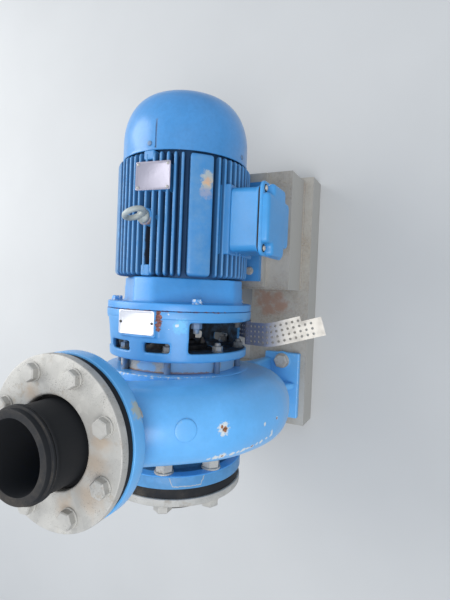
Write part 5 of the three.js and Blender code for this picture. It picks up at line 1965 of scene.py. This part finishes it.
def cowl_enamel():
    tone = shade(bpy.context.scene.pump_colours.motor, 1.06)
    return enamel("cowl_enamel", tone, wear=0.15, dust=0.2, gloss=0.30, mottled=0.30, coat=0.35)


def box_enamel():
    return enamel("box_enamel", bpy.context.scene.pump_colours.box, wear=0.15, dust=0.3)


def seat_enamel():
    return enamel("seat_enamel", bpy.context.scene.pump_colours.motor, tints=SEAT_TINTS, wear=0.0, dust=0.3)


def motor_enamel():
    return enamel("motor_enamel", bpy.context.scene.pump_colours.motor, soot=GROOVE_BLACK_SPOTS, tints=MOTOR_TINTS,
                  fin_tips=FIN_R, wear=0.0, dust=0.15)


# Stage

FOCAL_PX = 415.15
IMAGE_HEIGHT_PX = 600
SENSOR_MM = 36.0
VIEW_AZIMUTH = -2.706
VIEW_ELEVATION = 64.360
VIEW_ROLL = 2.300
CAMERA_AT = (0.22572, -0.47007, 1.08655)
LAMPS_AIM_AT = (0.2, 0.0, 0.3)
KEY_AT = (0.8, 1.8, 1.5)
FILL_AT = (-0.4, -0.9, 2.4)


def lamp(name, power, size, where):
    """A round area light that looks at the middle of the set."""
    light = bpy.data.lights.new(name, "AREA")
    light.energy = power
    light.shape = "DISK"
    light.size = size
    lamp_object = linked(light, name)
    lamp_object.location = where
    lamp_object.rotation_euler = (Vector(LAMPS_AIM_AT) - Vector(where)).to_track_quat("-Z", "Y").to_euler()


class PUMP_OT_stage(Operator):
    """Sets the floor, the light and the camera at the photograph's viewing angle"""
    bl_idname = "pump.stage"
    bl_label = "Stage"

    def execute(self, context):
        studio = context.scene.pump_studio
        mesh = mesh_from(shaped(bmesh.ops.create_grid, x_segments=8, y_segments=8, size=6.0), "studio_floor")
        mesh.materials.append(pale_floor("studio_floor", studio.floor))
        floor = linked(mesh, "studio_floor")
        floor.location.z = -0.0005

        world = bpy.data.worlds.new("studio_light")
        world.use_nodes = True
        background = world.node_tree.nodes["Background"]
        background.inputs["Color"].default_value = rgba(studio.sky)
        background.inputs["Strength"].default_value = studio.sky_strength
        context.scene.world = world
        context.scene.view_settings.view_transform = "Standard"
        lamp("key_light", studio.key_power, 2.0, KEY_AT)
        lamp("fill_light", studio.fill_power, 1.6, FILL_AT)

        azimuth, elevation, roll = radians(VIEW_AZIMUTH), radians(VIEW_ELEVATION), radians(VIEW_ROLL)
        look = Vector((sin(azimuth) * cos(elevation), cos(azimuth) * cos(elevation), -sin(elevation)))
        # The photograph is turned a quarter turn, so the picture's upward direction runs along the shaft.
        up = Vector((1, 0, 0))
        up = (up - look * up.dot(look)).normalized()
        right = look.cross(up)
        turned_right = right * cos(roll) + up * sin(roll)
        turned_up = up * cos(roll) - right * sin(roll)
        basis = Matrix((turned_right, turned_up, -look)).transposed().to_4x4()
        lens = bpy.data.cameras.new("photo_camera")
        lens.sensor_width = SENSOR_MM
        lens.lens = SENSOR_MM * FOCAL_PX / IMAGE_HEIGHT_PX
        lens.clip_start = 0.01
        camera = linked(lens, "photo_camera")
        camera.matrix_world = Matrix.Translation(CAMERA_AT) @ basis
        context.scene.camera = camera
        return {"FINISHED"}


OPERATORS = (
    PUMP_OT_casing, PUMP_OT_branches, PUMP_OT_lantern, PUMP_OT_seal_and_shaft, PUMP_OT_guard_strip,
    PUMP_OT_drive_end_shield, PUMP_OT_motor_frame, PUMP_OT_fan_cowl, PUMP_OT_terminal_box, PUMP_OT_plates,
    PUMP_OT_lifting_eye, PUMP_OT_fasteners, PUMP_OT_base, PUMP_OT_stage,
)


class PUMP_PT_set(Panel):
    """Lists the pieces of the pump set and the values that shape them"""
    bl_idname = "PUMP_PT_set"
    bl_label = "Pump Set"
    bl_space_type = "VIEW_3D"
    bl_region_type = "UI"
    bl_category = "Pump Set"

    def draw(self, context):
        for key, group in SETTINGS.items():
            box = self.layout.box()
            for name in group.__annotations__:
                box.prop(getattr(context.scene, key), name)
        column = self.layout.column()
        for operator in OPERATORS:
            column.operator(operator.bl_idname)


def register():
    for group in (*SETTINGS.values(), *OPERATORS, PUMP_PT_set):
        bpy.utils.register_class(group)
    for key, group in SETTINGS.items():
        setattr(bpy.types.Scene, key, PointerProperty(type=group))


def unregister():
    for key in SETTINGS:
        delattr(bpy.types.Scene, key)
    for group in (PUMP_PT_set, *reversed(OPERATORS), *reversed(SETTINGS.values())):
        bpy.utils.unregister_class(group)


def main():
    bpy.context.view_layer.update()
    register()
    bpy.ops.pump.stage()
    for operator in OPERATORS[:-1]:
        group, name = operator.bl_idname.split(".")
        getattr(getattr(bpy.ops, group), name)()


if __name__ == "__main__":
    main()
